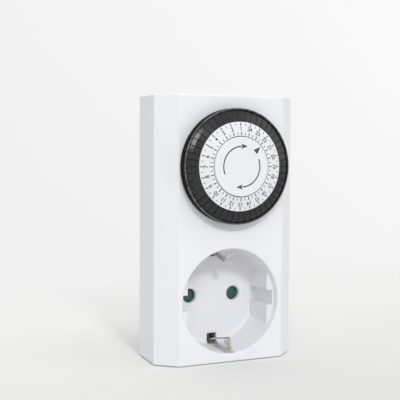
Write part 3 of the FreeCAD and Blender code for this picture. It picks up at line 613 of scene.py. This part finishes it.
def seen_rays(tree: Tree) -> Value:
    """Tells the rays that show a background from those that only light the object.

    Args:
        tree: The nodes of a material or of the world.

    Returns:
        A value that is 1 for what the camera sees directly, in gloss or through glass.
    """
    rays = tree.nodes.new("ShaderNodeLightPath")
    seen = rays.outputs["Is Camera Ray"]
    for other in ("Is Glossy Ray", "Is Transmission Ray"):
        seen = add_math(tree, "MAXIMUM", seen, rays.outputs[other])
    return seen


@dataclass(frozen=True)
class StudioPaper:
    """Pale paper with painted light that makes it brighter away from the camera, and that glows
    where it is far off.

    The glow is the paper's colour as the camera, gloss and glass see it; it lights nothing.
    """

    name: str = "studio_paper"
    # Paper tone by Y: the rise in tone is painted light standing in for the lamps' falloff.
    tones: tuple[Pair, ...] = ((-0.1, 0.78), (0.0, 0.85), (0.08, 0.92))
    blue_share: float = 0.98
    glow_depth: Pair = (0.03, 0.2)
    glow_distance: Pair = (0.35, 1.2)
    glow_tones: Pair = (0.872, 0.955)
    glow_slope: Triple = (1.4, 0.0, 1.0)

    def paper(self, tree: Tree, depth: Value) -> Value:
        """Makes the paper's matt shading, with painted light that grows away from the camera.

        Args:
            tree: The material's nodes.
            depth: The Y of a point.

        Returns:
            The shading.
        """
        low, high = self.tones[0][0], self.tones[-1][0]
        stops = [((y - low) / (high - low), (tone, tone, tone * self.blue_share))
                 for y, tone in self.tones]
        matt = tree.nodes.new("ShaderNodeBsdfDiffuse")
        tree.links.new(add_ramp(tree, add_range(tree, depth, (low, high)), stops),
                       matt.inputs["Color"])
        return matt.outputs["BSDF"]

    def glow(self, tree: Tree, place: Value) -> Value:
        """Makes the glow, paler upwards and to the right.

        Args:
            tree: The material's nodes.
            place: The place of a point.

        Returns:
            The glow.
        """
        slope = add_vector_math(tree, "DOT_PRODUCT", place, self.glow_slope)
        stops = list(enumerate([(tone,) * 3 for tone in self.glow_tones]))
        glow = tree.nodes.new("ShaderNodeEmission")
        tree.links.new(add_ramp(tree, slope, stops), glow.inputs["Color"])
        return glow.outputs["Emission"]

    def build(self) -> Finish:
        """Builds the finish.

        Returns:
            The node material.
        """
        material = new_material(self.name)
        tree = material.node_tree
        tree.nodes.clear()
        place = add_place(tree)
        depth = add_vector_math(tree, "DOT_PRODUCT", place, (0.0, 1.0, 0.0))
        distance = add_vector_math(tree, "LENGTH", place)
        behind = add_range(tree, depth, self.glow_depth)
        far = add_range(tree, distance, self.glow_distance)
        share = add_math(tree, "MULTIPLY", seen_rays(tree),
                         add_math(tree, "MAXIMUM", behind, far))
        output = tree.nodes.new("ShaderNodeOutputMaterial")
        tree.links.new(add_mix(tree, share, self.paper(tree, depth), self.glow(tree, place)),
                       output.inputs["Surface"])
        return material


def dress_nodes(nodes: dict[str, Piece], material: Finish, names: list[str]) -> None:
    """Gives frame nodes one material.

    Args:
        nodes: The frame's nodes by name.
        material: The material.
        names: The nodes that get it.
    """
    for name in names:
        nodes[name].data.materials.clear()
        nodes[name].data.materials.append(material)
    log.info("finish %s on %s", material.name, ", ".join(names))


def dress_piece(piece: Piece, material: Finish, body: str) -> None:
    """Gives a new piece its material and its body.

    Args:
        piece: The new piece.
        material: Its material.
        body: The body that it rides on.
    """
    piece.data.materials.clear()
    piece.data.materials.append(material)
    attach(piece, body)


@dataclass
class Layout:
    """Places and sizes of the timer, read from the frame."""

    ring_edge_band: float = 0.1 * MM
    rim_edge_band: float = 0.5 * MM
    front_y: float = field(init=False)
    dial_x: float = field(init=False)
    dial_z: float = field(init=False)
    rim_r: float = field(init=False)
    rim_y: float = field(init=False)
    ring_edge_y: float = field(init=False)
    ring_inner_y: float = field(init=False)
    ring_inner_r: float = field(init=False)
    ring_outer_r: float = field(init=False)
    cap_y: float = field(init=False)

    def __post_init__(self) -> None:
        """Reads the boxes of the housing, the dial wheel, the number ring and the cap."""
        self.front_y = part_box("front_housing")[0].y
        ring_low, ring_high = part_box("number_ring")
        self.dial_x = (ring_low.x + ring_high.x) / 2
        self.dial_z = (ring_low.z + ring_high.z) / 2
        self.ring_outer_r = (ring_high.x - ring_low.x) / 2
        self.ring_inner_y = ring_low.y
        ring = self.radii("number_ring")
        self.ring_inner_r = min(r for r, _ in ring)
        self.ring_edge_y = min(y for r, y in ring if r > self.ring_outer_r - self.ring_edge_band)
        wheel = self.radii("dial_wheel")
        self.rim_r = max(r for r, _ in wheel)
        self.rim_y = min(y for r, y in wheel if r > self.rim_r - self.rim_edge_band)
        self.cap_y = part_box("centre_cap")[0].y

    def radii(self, node: str) -> list[Pair]:
        """Gives the distance from the dial's axis and the Y of each point of a node."""
        points = [v.co for v in bpy.data.objects[node].data.vertices]
        return [(math.hypot(p.x - self.dial_x, p.z - self.dial_z), p.y) for p in points]

    def face_y(self, face: DialFace, radius: float) -> float:
        """Gives the Y of one of the dial's faces.

        Args:
            face: The face.
            radius: Distance from the dial's axis.

        Returns:
            The face's Y there.
        """
        if face is DialFace.CAP:
            return self.cap_y
        share = (radius - self.ring_inner_r) / (self.ring_outer_r - self.ring_inner_r)
        return self.ring_inner_y + share * (self.ring_edge_y - self.ring_inner_y)


@dataclass
class SegmentCaps:
    """The switching segments with rounded edges: two for each hour, pressed in by hand.

    Depths count backwards from the housing's front.
    """

    layout: Layout
    plastic: Finish
    per_hour: int = 2
    inner_r: float = 16.6 * MM
    crest_r: float = 19.4 * MM
    outer_r: float = 20.75 * MM
    inner_depth: float = -6.15 * MM
    crest_depth: float = -5.35 * MM
    outer_depth: float = -4.6 * MM
    back_depth: float = -3.7 * MM
    head_steps: int = 4
    gap: float = 0.14 * MM
    rounding: float = 0.08 * MM
    rounding_steps: int = 2
    facet_angle: float = 10.0
    leg_r: Pair = (17.9 * MM, 19.9 * MM)
    leg_width: float = 1.5 * MM
    leg_front_depth: float = -3.9 * MM
    leg_back_depth: float = -1.85 * MM
    leg_bevel: float = 0.1 * MM

    def place(self, radius: float, depth: float, angle: float) -> Vector:
        """Gives the point at a radius, a depth and an angle about the dial's axis."""
        return Vector((self.layout.dial_x + radius * math.cos(angle),
                       self.layout.front_y + depth,
                       self.layout.dial_z + radius * math.sin(angle)))

    def head(self) -> Piece:
        """Models the head of the segment whose middle is at +X.

        Returns:
            The head's object.
        """
        half = math.pi / (HOURS * self.per_hour) - self.gap / 2 / self.inner_r
        profile = [(self.inner_r, self.inner_depth), (self.crest_r, self.crest_depth),
                   (self.outer_r, self.outer_depth), (self.outer_r, self.back_depth),
                   (self.inner_r, self.back_depth)]
        head = flat_outline("segment_head", [self.place(r, d, -half) for r, d in profile])
        with edit_mode(Selection.ALL):
            bpy.ops.mesh.spin(steps=self.head_steps, angle=2 * half, axis=(0.0, 1.0, 0.0),
                              dupli=False, center=self.place(0.0, 0.0, 0.0))
        close_ends(head)
        outward_normals(head)
        round_edges(head, self.rounding, self.rounding_steps, self.facet_angle)
        return head

    def leg(self) -> Piece:
        """Models the leg that carries the head through the dial's floor.

        Returns:
            The leg's object.
        """
        low, high = self.leg_r
        front, back = self.leg_front_depth, self.leg_back_depth
        leg = block(self.place((low + high) / 2, (front + back) / 2, 0.0),
                    (high - low, back - front, self.leg_width))
        round_edges(leg, self.leg_bevel, 1)
        return leg

    def turned(self, model: Piece, angle: float) -> Piece:
        """Copies the segment to another angle about the dial's axis.

        Args:
            model: The segment at +X.
            angle: Degrees anticlockwise, as seen from the front.

        Returns:
            The copy, with its place in its mesh.
        """
        copy = copy_piece(model)
        centre = self.place(0.0, 0.0, 0.0)
        turn = Matrix.Rotation(-math.radians(angle), 4, "Y")
        copy.data.transform(Matrix.Translation(centre) @ turn @ Matrix.Translation(-centre))
        return copy

    def build(self) -> list[Piece]:
        """Models one segment and copies it round the dial.

        Returns:
            A piece for each hour.
        """
        model = join_pieces("segment", [self.head(), self.leg()])
        step = HOUR_ANGLE / self.per_hour
        pieces = []
        for hour in range(1, HOURS + 1):
            first = TOP_ANGLE + (hour - 1) * HOUR_ANGLE + step / 2
            pair = [self.turned(model, first + n * step) for n in range(self.per_hour)]
            piece = join_pieces("segment_caps_%02d" % hour, pair)
            dress_piece(piece, self.plastic, "hour_%02d" % hour)
            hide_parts("segments_hour_%02d" % hour)
            pieces.append(piece)
        bpy.data.objects.remove(model)
        return pieces


@dataclass
class EarthClips:
    """The two bent strips of the socket that meet the earth contacts of a plug.

    Their line runs through points at a depth behind the housing's front and a height above
    the well's wall.
    """

    layout: Layout
    lower_metal: Finish
    # Same plating as the lower clip's metal, with painted light in its colour.
    upper_metal: Finish
    socket_z: float = 23.1 * MM
    well_r: float = 19.95 * MM
    width: float = 2.6 * MM
    thickness: float = 0.6 * MM
    line: tuple[Pair, ...] = (
        (21.8 * MM, 2.4 * MM), (17.0 * MM, 2.4 * MM), (3.95 * MM, 5.3 * MM),
        (1.2 * MM, 1.6 * MM))
    bend_reach: tuple[float, ...] = (1.5 * MM, 0.75 * MM)
    bend_steps: int = 5
    tip_rounding: float = 1.15 * MM
    tip_steps: int = 4
    rounding: float = 0.07 * MM
    rounding_steps: int = 2

    def point(self, side: ClipEnd, x: float, depth: float, rise: float) -> Vector:
        """Gives a point of a clip.

        Args:
            side: Which of the two clips.
            x: Distance to the right of the clip's middle.
            depth: Distance behind the housing's front.
            rise: Distance from the well's wall towards its middle.

        Returns:
            The point.
        """
        return Vector((x, self.layout.front_y + depth,
                       self.socket_z + side.value * (self.well_r - rise)))

    def clip(self, side: ClipEnd) -> Piece:
        """Models one clip as a bent strip with a rounded tip.

        Args:
            side: Which of the two clips.

        Returns:
            The clip's object.
        """
        half = self.width / 2
        stations = [[self.point(side, x, depth, rise) for x in (-half, half)]
                    for depth, rise in self.line]
        strip = flat_outline("strip", [stations[0][0], stations[0][1],
                                       stations[1][1], stations[1][0]])
        for previous, following in zip(stations[1:], stations[2:]):
            self.select_across(strip, previous)
            extend_selected(following[0] - previous[0])
        for station, reach in zip(stations[1:-1], self.bend_reach):
            self.select_across(strip, station)
            bevel_selected(reach, self.bend_steps)
        self.select_across(strip, stations[-1])
        bevel_selected(self.tip_rounding, self.tip_steps, ends_only=True)
        sheet = strip.modifiers.new("sheet", "SOLIDIFY")
        sheet.thickness = self.thickness
        sheet.offset = 0.0
        bpy.ops.object.modifier_apply(modifier=sheet.name)
        outward_normals(strip)
        round_edges(strip, self.rounding, self.rounding_steps)
        return strip

    def select_across(self, strip: Piece, station: list[Vector]) -> None:
        """Selects the edge that crosses the strip at one station.

        Args:
            strip: The strip's object.
            station: The two ends of that edge.
        """
        select_edges(strip, lambda *ends: all(
            min((end - p).length for p in station) < SAME_PLACE for end in ends))

    def build(self) -> list[Piece]:
        """Models both clips.

        Returns:
            The two clips.
        """
        pieces = []
        for side, node, metal in ((ClipEnd.LOWER, "earth_clip_lower", self.lower_metal),
                                  (ClipEnd.UPPER, "earth_clip_upper", self.upper_metal)):
            piece = self.clip(side)
            piece.name = node + "_strip"
            piece.data.name = piece.name
            dress_piece(piece, metal, "housing")
            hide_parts(node)
            pieces.append(piece)
        return pieces


@dataclass
class DialPrint:
    """The marks printed on the dial: hours, ticks, arrows and the index.

    A tick has an inner and an outer radius and a width, an arrow's head a length and half
    its width.
    """

    layout: Layout
    ink: Finish
    ink_height: float = 0.02 * MM
    ink_sunk_share: float = 0.4
    numeral_r: float = 13.95 * MM
    numeral_size: float = 2.15 * MM
    numeral_spacing: float = 0.92
    numeral_boldness: float = 0.02
    numeral_steps: int = 3
    hour_tick: Triple = (15.0 * MM, 16.2 * MM, 0.36 * MM)
    half_tick: Triple = (15.15 * MM, 16.0 * MM, 0.22 * MM)
    inner_tick: Triple = (11.5 * MM, 12.75 * MM, 0.38 * MM)
    inner_half_tick: Triple = (11.55 * MM, 12.55 * MM, 0.24 * MM)
    tick_corner_share: float = 0.2
    arrow_r: float = 7.45 * MM
    arrow_stroke: float = 0.48 * MM
    arrow_start: float = 201.7
    arrow_end: float = 92.0
    arrow_steps: int = 36
    arrow_head: Pair = (2.6 * MM, 0.95 * MM)
    arrow_notch_share: float = 0.12
    index_angle: float = 44.0
    index_tip_r: float = 10.55 * MM
    index_base_r: float = 7.7 * MM
    index_half_width: float = 1.1 * MM

    def lay(self, mark: Piece, angle: float, radius: float, face: DialFace) -> Piece:
        """Lays a flat mark on the dial, its top pointing outwards.

        The mark is drawn in its own XY plane, with Z from 0 at its back to 1 at its face.

        Args:
            mark: The mark's object.
            angle: Degrees anticlockwise from +X, as seen from the front.
            radius: Distance of the mark's own origin from the dial's axis.
            face: The face that it is printed on.

        Returns:
            The same object, with its place in its mesh.
        """
        turn = math.radians(angle)
        out = Vector((math.cos(turn), 0.0, math.sin(turn)))
        right = Vector((math.sin(turn), 0.0, -math.cos(turn)))
        centre = Vector((self.layout.dial_x, 0.0, self.layout.dial_z))
        for vertex in mark.data.vertices:
            u, v, w = vertex.co
            point = out * (radius + v) + right * u
            lift = self.ink_height * (w - self.ink_sunk_share)
            depth = self.layout.face_y(face, math.hypot(point.x, point.z)) - lift
            vertex.co = centre + point + Vector((0.0, depth, 0.0))
        return mark

    def bar(self, width: float, length: float) -> Piece:
        """Models one printed bar with cut corners, standing on its own origin.

        Args:
            width: Its width.
            length: Its length.

        Returns:
            The bar's object.
        """
        bar = block((0.0, length / 2, 0.5), (width, length, 1.0))
        select_edges(bar, lambda a, b: (a.xy - b.xy).length < SAME_PLACE)
        bevel_selected(width * self.tick_corner_share, 1)
        return bar

    def ticks(self) -> Piece:
        """Prints the outer and inner ticks of every hour and half hour.

        Returns:
            All ticks as one piece.
        """
        marks = []
        for (inner, outer, width), shift in (
                (self.hour_tick, 0.0), (self.half_tick, 0.5),
                (self.inner_tick, 0.0), (self.inner_half_tick, 0.5)):
            model = self.bar(width, outer - inner)
            for hour in range(HOURS):
                angle = TOP_ANGLE + (hour + shift) * HOUR_ANGLE
                marks.append(self.lay(copy_piece(model), angle, inner, DialFace.RING))
            bpy.data.objects.remove(model)
        return join_pieces("dial_ticks", marks)

    def numerals(self) -> Piece:
        """Prints the hours from 1 to 24, running anticlockwise.

        Returns:
            All numerals as one piece.
        """
        marks = []
        for hour in range(1, HOURS + 1):
            bpy.ops.object.text_add(location=(0.0, 0.0, 0.5))
            text = bpy.context.active_object.data
            text.body = str(hour)
            text.align_x = "CENTER"
            text.align_y = "CENTER"
            text.size = self.numeral_size
            text.space_character = self.numeral_spacing
            text.offset = self.numeral_boldness * self.numeral_size
            text.extrude = 0.5
            text.resolution_u = self.numeral_steps
            bpy.ops.object.convert(target="MESH")
            mark = settle(bpy.context.active_object)
            outward_normals(mark)
            angle = TOP_ANGLE + (hour - 1) * HOUR_ANGLE
            marks.append(self.lay(mark, angle, self.numeral_r, DialFace.RING))
        return join_pieces("dial_numerals", marks)

    def arrow(self, turn: float) -> Piece:
        """Prints one clockwise arrow round the middle of the dial.

        Args:
            turn: Degrees by which the arrow is turned about the dial's axis.

        Returns:
            The arrow's object.
        """
        start = math.radians(self.arrow_start)
        out = Vector((math.cos(start), math.sin(start), 0.0))
        up = Vector((0.0, 0.0, 1.0))
        inner = out * (self.arrow_r - self.arrow_stroke / 2)
        outer = out * (self.arrow_r + self.arrow_stroke / 2)
        stroke = flat_outline("arrow_stroke", [inner, outer, outer + up, inner + up])
        sweep = math.radians(self.arrow_start - self.arrow_end)
        with edit_mode(Selection.ALL):
            bpy.ops.mesh.spin(steps=self.arrow_steps, angle=sweep, center=(0.0, 0.0, 0.0),
                              axis=(0.0, 0.0, 1.0), dupli=False)
            bpy.ops.mesh.select_all(action="SELECT")
            bpy.ops.mesh.remove_doubles(threshold=SAME_PLACE)
        close_ends(stroke)
        length, width = self.arrow_head
        end = math.radians(self.arrow_end)
        tip = Vector((math.cos(end), math.sin(end))) * self.arrow_r
        along = Vector((math.sin(end), -math.cos(end)))
        side = Vector((-along.y, along.x)) * width
        notch = tip + along * (length * self.arrow_notch_share)
        head = flat_mark("arrow_head", [tip + along * length, tip + side, notch, tip - side])
        mark = join_pieces("dial_arrow", [stroke, head])
        mark.data.transform(Matrix.Rotation(math.radians(turn), 4, "Z"))
        outward_normals(mark)
        return self.lay(mark, TOP_ANGLE, 0.0, DialFace.CAP)

    def index(self) -> Piece:
        """Prints the triangle that points at the time.

        Returns:
            The triangle's object.
        """
        mark = flat_mark("dial_index", [(0.0, self.index_tip_r),
                                        (-self.index_half_width, self.index_base_r),
                                        (self.index_half_width, self.index_base_r)])
        outward_normals(mark)
        return self.lay(mark, self.index_angle, 0.0, DialFace.CAP)

    def build(self) -> list[Piece]:
        """Prints everything and lets it ride on the ring or on the fixed cap.

        Returns:
            The four prints.
        """
        turning = [self.ticks(), self.numerals()]
        fixed = [join_pieces("dial_arrows", [self.arrow(0.0), self.arrow(180.0)]), self.index()]
        for body, marks in (("dial", turning), ("housing", fixed)):
            for mark in marks:
                dress_piece(mark, self.ink, body)
        return turning + fixed


@dataclass
class Dial:
    """The turning dial: black wheel and segments, white number ring and centre cap."""

    layout: Layout
    rim_side: Colour = (0.006, 0.006, 0.007)
    # Colour of the painted highlight on the rim's outer front edge.
    rim_edge: Colour = (0.24, 0.24, 0.25)
    segment_black: MouldedPlastic = MouldedPlastic(
        "segment_black", (0.005, 0.005, 0.006), roughness=0.18, specular=0.54, tone_change=0.25)
    ring_white: MouldedPlastic = MouldedPlastic(
        "ring_white", (0.78, 0.78, 0.805), roughness=0.35, tone_change=0.01,
        grain_height=0.001 * MM)
    cap_white: MouldedPlastic = MouldedPlastic(
        "cap_white", (0.805, 0.805, 0.835), roughness=0.35, tone_change=0.01,
        grain_height=0.001 * MM)
    ink: PrintingInk = PrintingInk("dial_ink", (0.085, 0.09, 0.095))

    def build(self, nodes: dict[str, Piece]) -> list[Piece]:
        """Dresses the dial's nodes and makes its new pieces.

        Args:
            nodes: The frame's nodes by name.

        Returns:
            The new pieces.
        """
        centre = (self.layout.dial_x, 0.0, self.layout.dial_z)
        rim = RimPlastic("rim_black", self.rim_side, self.rim_edge, centre,
                         self.layout.rim_r, self.layout.rim_y).build()
        dress_nodes(nodes, rim, ["dial_wheel"])
        dress_nodes(nodes, self.ring_white.build(), ["number_ring"])
        dress_nodes(nodes, self.cap_white.build(), ["centre_cap"])
        black = self.segment_black.build()
        dress_nodes(nodes, black, ["segments_hour_%02d" % h for h in range(1, HOURS + 1)])
        return (SegmentCaps(self.layout, black).build()
                + DialPrint(self.layout, self.ink.build()).build())


@dataclass
class Housing:
    """The white housing with its screws and the black override slider."""

    white: MouldedPlastic = MouldedPlastic(
        "housing_white", (0.845, 0.845, 0.875), roughness=0.42, tone_change=0.008)
    black: MouldedPlastic = MouldedPlastic(
        "slider_black", (0.02, 0.02, 0.022), roughness=0.35)
    steel: PlatedMetal = PlatedMetal(
        "zinc_steel", (0.62, 0.63, 0.66), (0.5, 0.5, 0.52), roughness=0.3)

    def build(self, nodes: dict[str, Piece]) -> list[Piece]:
        """Dresses the housing's nodes; it has no new pieces.

        Args:
            nodes: The frame's nodes by name.

        Returns:
            The new pieces, none.
        """
        dress_nodes(nodes, self.white.build(), ["front_housing", "rear_cover"])
        dress_nodes(nodes, self.black.build(), ["override_slider"])
        dress_nodes(nodes, self.steel.build(), ["case_screws", "plate_screws", "dial_spindle",
                                                "reduction_axle", "lever_pin", "shutter_spring",
                                                "clutch_spring", "motor"])
        return []


@dataclass
class Socket:
    """The socket: shutter, contacts, earth clips, and the plug's pins behind."""

    layout: Layout
    green: MouldedPlastic = MouldedPlastic(
        "shutter_green", (0.014, 0.083, 0.066), roughness=0.15, specular=0.7)
    inner: MouldedPlastic = MouldedPlastic("inner_plastic", (0.75, 0.74, 0.69), roughness=0.5)
    brass: PlatedMetal = PlatedMetal("brass_strip", (0.78, 0.58, 0.28), (0.6, 0.4, 0.18))
    nickel: PlatedMetal = PlatedMetal(
        "nickel_plate", (0.52, 0.51, 0.46), (0.35, 0.33, 0.26), roughness=0.24)
    # The upper clip gets a paler copy of the same nickel plating; its colour is painted light on
    # that clip.
    bright_nickel: PlatedMetal = PlatedMetal(
        "bright_nickel", (0.72, 0.68, 0.7), (0.64, 0.6, 0.62), roughness=0.26)
    pin_nickel: PlatedMetal = PlatedMetal(
        "pin_nickel", (0.52, 0.51, 0.48), (0.46, 0.44, 0.4), roughness=0.2)

    def build(self, nodes: dict[str, Piece]) -> list[Piece]:
        """Dresses the socket's nodes and makes the rounded earth clips.

        Args:
            nodes: The frame's nodes by name.

        Returns:
            The new pieces.
        """
        dress_nodes(nodes, self.green.build(), ["shutter"])
        dress_nodes(nodes, self.inner.build(), ["contact_carrier"])
        dress_nodes(nodes, self.brass.build(), ["line_bus", "load_bus", "line_contact",
                                                "neutral_contact", "switch_terminals"])
        nickel = self.nickel.build()
        upper_nickel_painted_light = self.bright_nickel.build()
        dress_nodes(nodes, nickel, ["earth_clip_lower", "earth_bridge"])
        dress_nodes(nodes, upper_nickel_painted_light, ["earth_clip_upper"])
        dress_nodes(nodes, self.pin_nickel.build(), ["line_pin", "neutral_pin",
                                                     "plug_earth_contacts"])
        return EarthClips(self.layout, nickel, upper_nickel_painted_light).build()


@dataclass
class Movement:
    """The movement behind the dial: plate, gears, reader lever and snap switch."""

    plate: MouldedPlastic = MouldedPlastic("plate_plastic", (0.72, 0.71, 0.66), roughness=0.5)
    gears: MouldedPlastic = MouldedPlastic("gear_plastic", (0.8, 0.79, 0.74), roughness=0.35)
    lever: MouldedPlastic = MouldedPlastic("lever_plastic", (0.5, 0.08, 0.06), roughness=0.4)
    case: MouldedPlastic = MouldedPlastic("switch_case", (0.04, 0.04, 0.045), roughness=0.5)
    leads: MouldedPlastic = MouldedPlastic("lead_cover", (0.12, 0.2, 0.5), roughness=0.45)

    def build(self, nodes: dict[str, Piece]) -> list[Piece]:
        """Dresses the movement's nodes; it has no new pieces.

        Args:
            nodes: The frame's nodes by name.

        Returns:
            The new pieces, none.
        """
        dress_nodes(nodes, self.plate.build(), ["movement_plate"])
        dress_nodes(nodes, self.gears.build(), ["dial_gear", "reduction_gear", "motor_pinion"])
        dress_nodes(nodes, self.lever.build(), ["switch_lever", "switch_plunger"])
        dress_nodes(nodes, self.case.build(), ["snap_switch"])
        dress_nodes(nodes, self.leads.build(), ["motor_leads"])
        return []


@dataclass(frozen=True)
class Lamp:
    """A soft square lamp that faces the timer; its power is in watts."""

    name: str
    place: Triple
    size: float
    power: float
    target: Triple = (0.0, 0.0, 0.05)

    def hang(self) -> None:
        """Adds the lamp to the studio."""
        bpy.ops.object.light_add(type="AREA", location=self.place)
        lamp = bpy.context.active_object
        lamp.name = self.name
        lamp.data.size = self.size
        lamp.data.energy = self.power
        aim = Vector(self.target) - Vector(self.place)
        lamp.rotation_euler = aim.to_track_quat("-Z", "Y").to_euler()


@dataclass
class Studio:
    """The pale studio: floor and backdrop, lamps, world and camera."""

    layout: Layout
    focal_px: float = 870.54
    camera_place: Triple = (-146.68 * MM, -292.0 * MM, 80.045 * MM)
    yaw: float = 24.5565
    pitch: float = 3.2517
    roll: float = 0.2567
    sensor: float = 36.0
    nearest_seen: float = 10.0 * MM
    floor_reach: float = 1.8
    floor_drop: float = 0.2 * MM
    backdrop_y: float = 0.55
    backdrop_height: float = 1.2
    backdrop_fold: float = 0.25
    fold_steps: int = 16
    sky_colour: Colour = (0.97, 0.98, 1.0)
    sky_strength: float = 0.49
    shown_colour: Colour = (1.0, 1.0, 1.0)
    shown_strength: float = 0.87
    lamps: tuple[Lamp, ...] = (
        Lamp("front_lamp", (-0.12, -1.0, 0.66), size=0.15, power=3.4),
        Lamp("top_lamp", (0.0, -0.1, 1.1), size=0.8, power=2.5),
        Lamp("left_lamp", (-0.5, -0.96, 0.66), size=0.36, power=2.7),
        Lamp("right_lamp", (0.95, -0.65, 0.5), size=0.8, power=1.2))

    def camera(self) -> None:
        """Places the camera where the photograph was taken from."""
        bpy.ops.object.camera_add()
        camera = bpy.context.active_object
        camera.name = "camera"
        camera.data.sensor_width = self.sensor
        camera.data.lens = self.focal_px / IMAGE_SIZE * self.sensor
        camera.data.clip_start = self.nearest_seen
        yaw, pitch, roll = (math.radians(a) for a in (self.yaw, self.pitch, self.roll))
        forward = Vector((math.sin(yaw) * math.cos(pitch), math.cos(yaw) * math.cos(pitch),
                          -math.sin(pitch)))
        level = Vector((math.cos(yaw), -math.sin(yaw), 0.0))
        up = level.cross(forward)
        right = level * math.cos(roll) + up * math.sin(roll)
        top = up * math.cos(roll) - level * math.sin(roll)
        turn = Matrix((right, top, -forward)).transposed()
        x, y, z = self.camera_place
        place = Vector((x, y + self.layout.front_y, z))
        camera.matrix_world = Matrix.Translation(place) @ turn.to_4x4()
        bpy.context.scene.camera = camera

    def sweep(self) -> None:
        """Makes the floor that curves up into the backdrop."""
        bpy.ops.mesh.primitive_plane_add(size=2.0, location=(0.0, 0.0, -self.floor_drop))
        floor = bpy.context.active_object
        floor.name = "studio_floor"
        floor.scale = (self.floor_reach, self.floor_reach, 1.0)
        settle(floor)
        for vertex in floor.data.vertices:
            if vertex.co.y > 0:
                vertex.co.y = self.backdrop_y
        select_edges(floor, lambda a, b: min(a.y, b.y) > 0)
        extend_selected((0.0, 0.0, self.backdrop_height))
        select_edges(floor, lambda a, b: min(a.y, b.y) > 0 and max(a.z, b.z) < 0)
        bevel_selected(self.backdrop_fold, self.fold_steps)
        bpy.ops.object.shade_smooth()
        floor.data.materials.append(StudioPaper().build())

    def sky(self) -> None:
        """Lights everything evenly with a pale sky, which the camera and gloss see paler."""
        world = bpy.data.worlds.new("studio_light")
        world.use_nodes = True
        tree = world.node_tree
        light = tree.nodes["Background"]
        shown = tree.nodes.new("ShaderNodeBackground")
        for sky, colour, strength in ((light, self.sky_colour, self.sky_strength),
                                      (shown, self.shown_colour, self.shown_strength)):
            sky.inputs["Color"].default_value = (*colour, 1.0)
            sky.inputs["Strength"].default_value = strength
        mixed = add_mix(tree, seen_rays(tree), light.outputs["Background"],
                        shown.outputs["Background"])
        tree.links.new(mixed, tree.nodes["World Output"].inputs["Surface"])
        bpy.context.scene.world = world

    def build(self) -> None:
        """Builds the whole studio."""
        self.camera()
        self.sky()
        self.sweep()
        for lamp in self.lamps:
            lamp.hang()
        bpy.context.scene.view_settings.view_transform = "Standard"


def main() -> None:
    """Builds the studio, then dresses and completes each sub-assembly in order."""
    logging.basicConfig(level=logging.INFO, format="%(message)s")
    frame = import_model()
    layout = Layout()
    Studio(layout).build()
    for assembly in (Housing(), Dial(layout), Socket(layout), Movement()):
        for piece in assembly.build(frame["nodes"]):
            log.info("piece %s: %d faces", piece.name, len(piece.data.polygons))


if __name__ == "__main__":
    main()
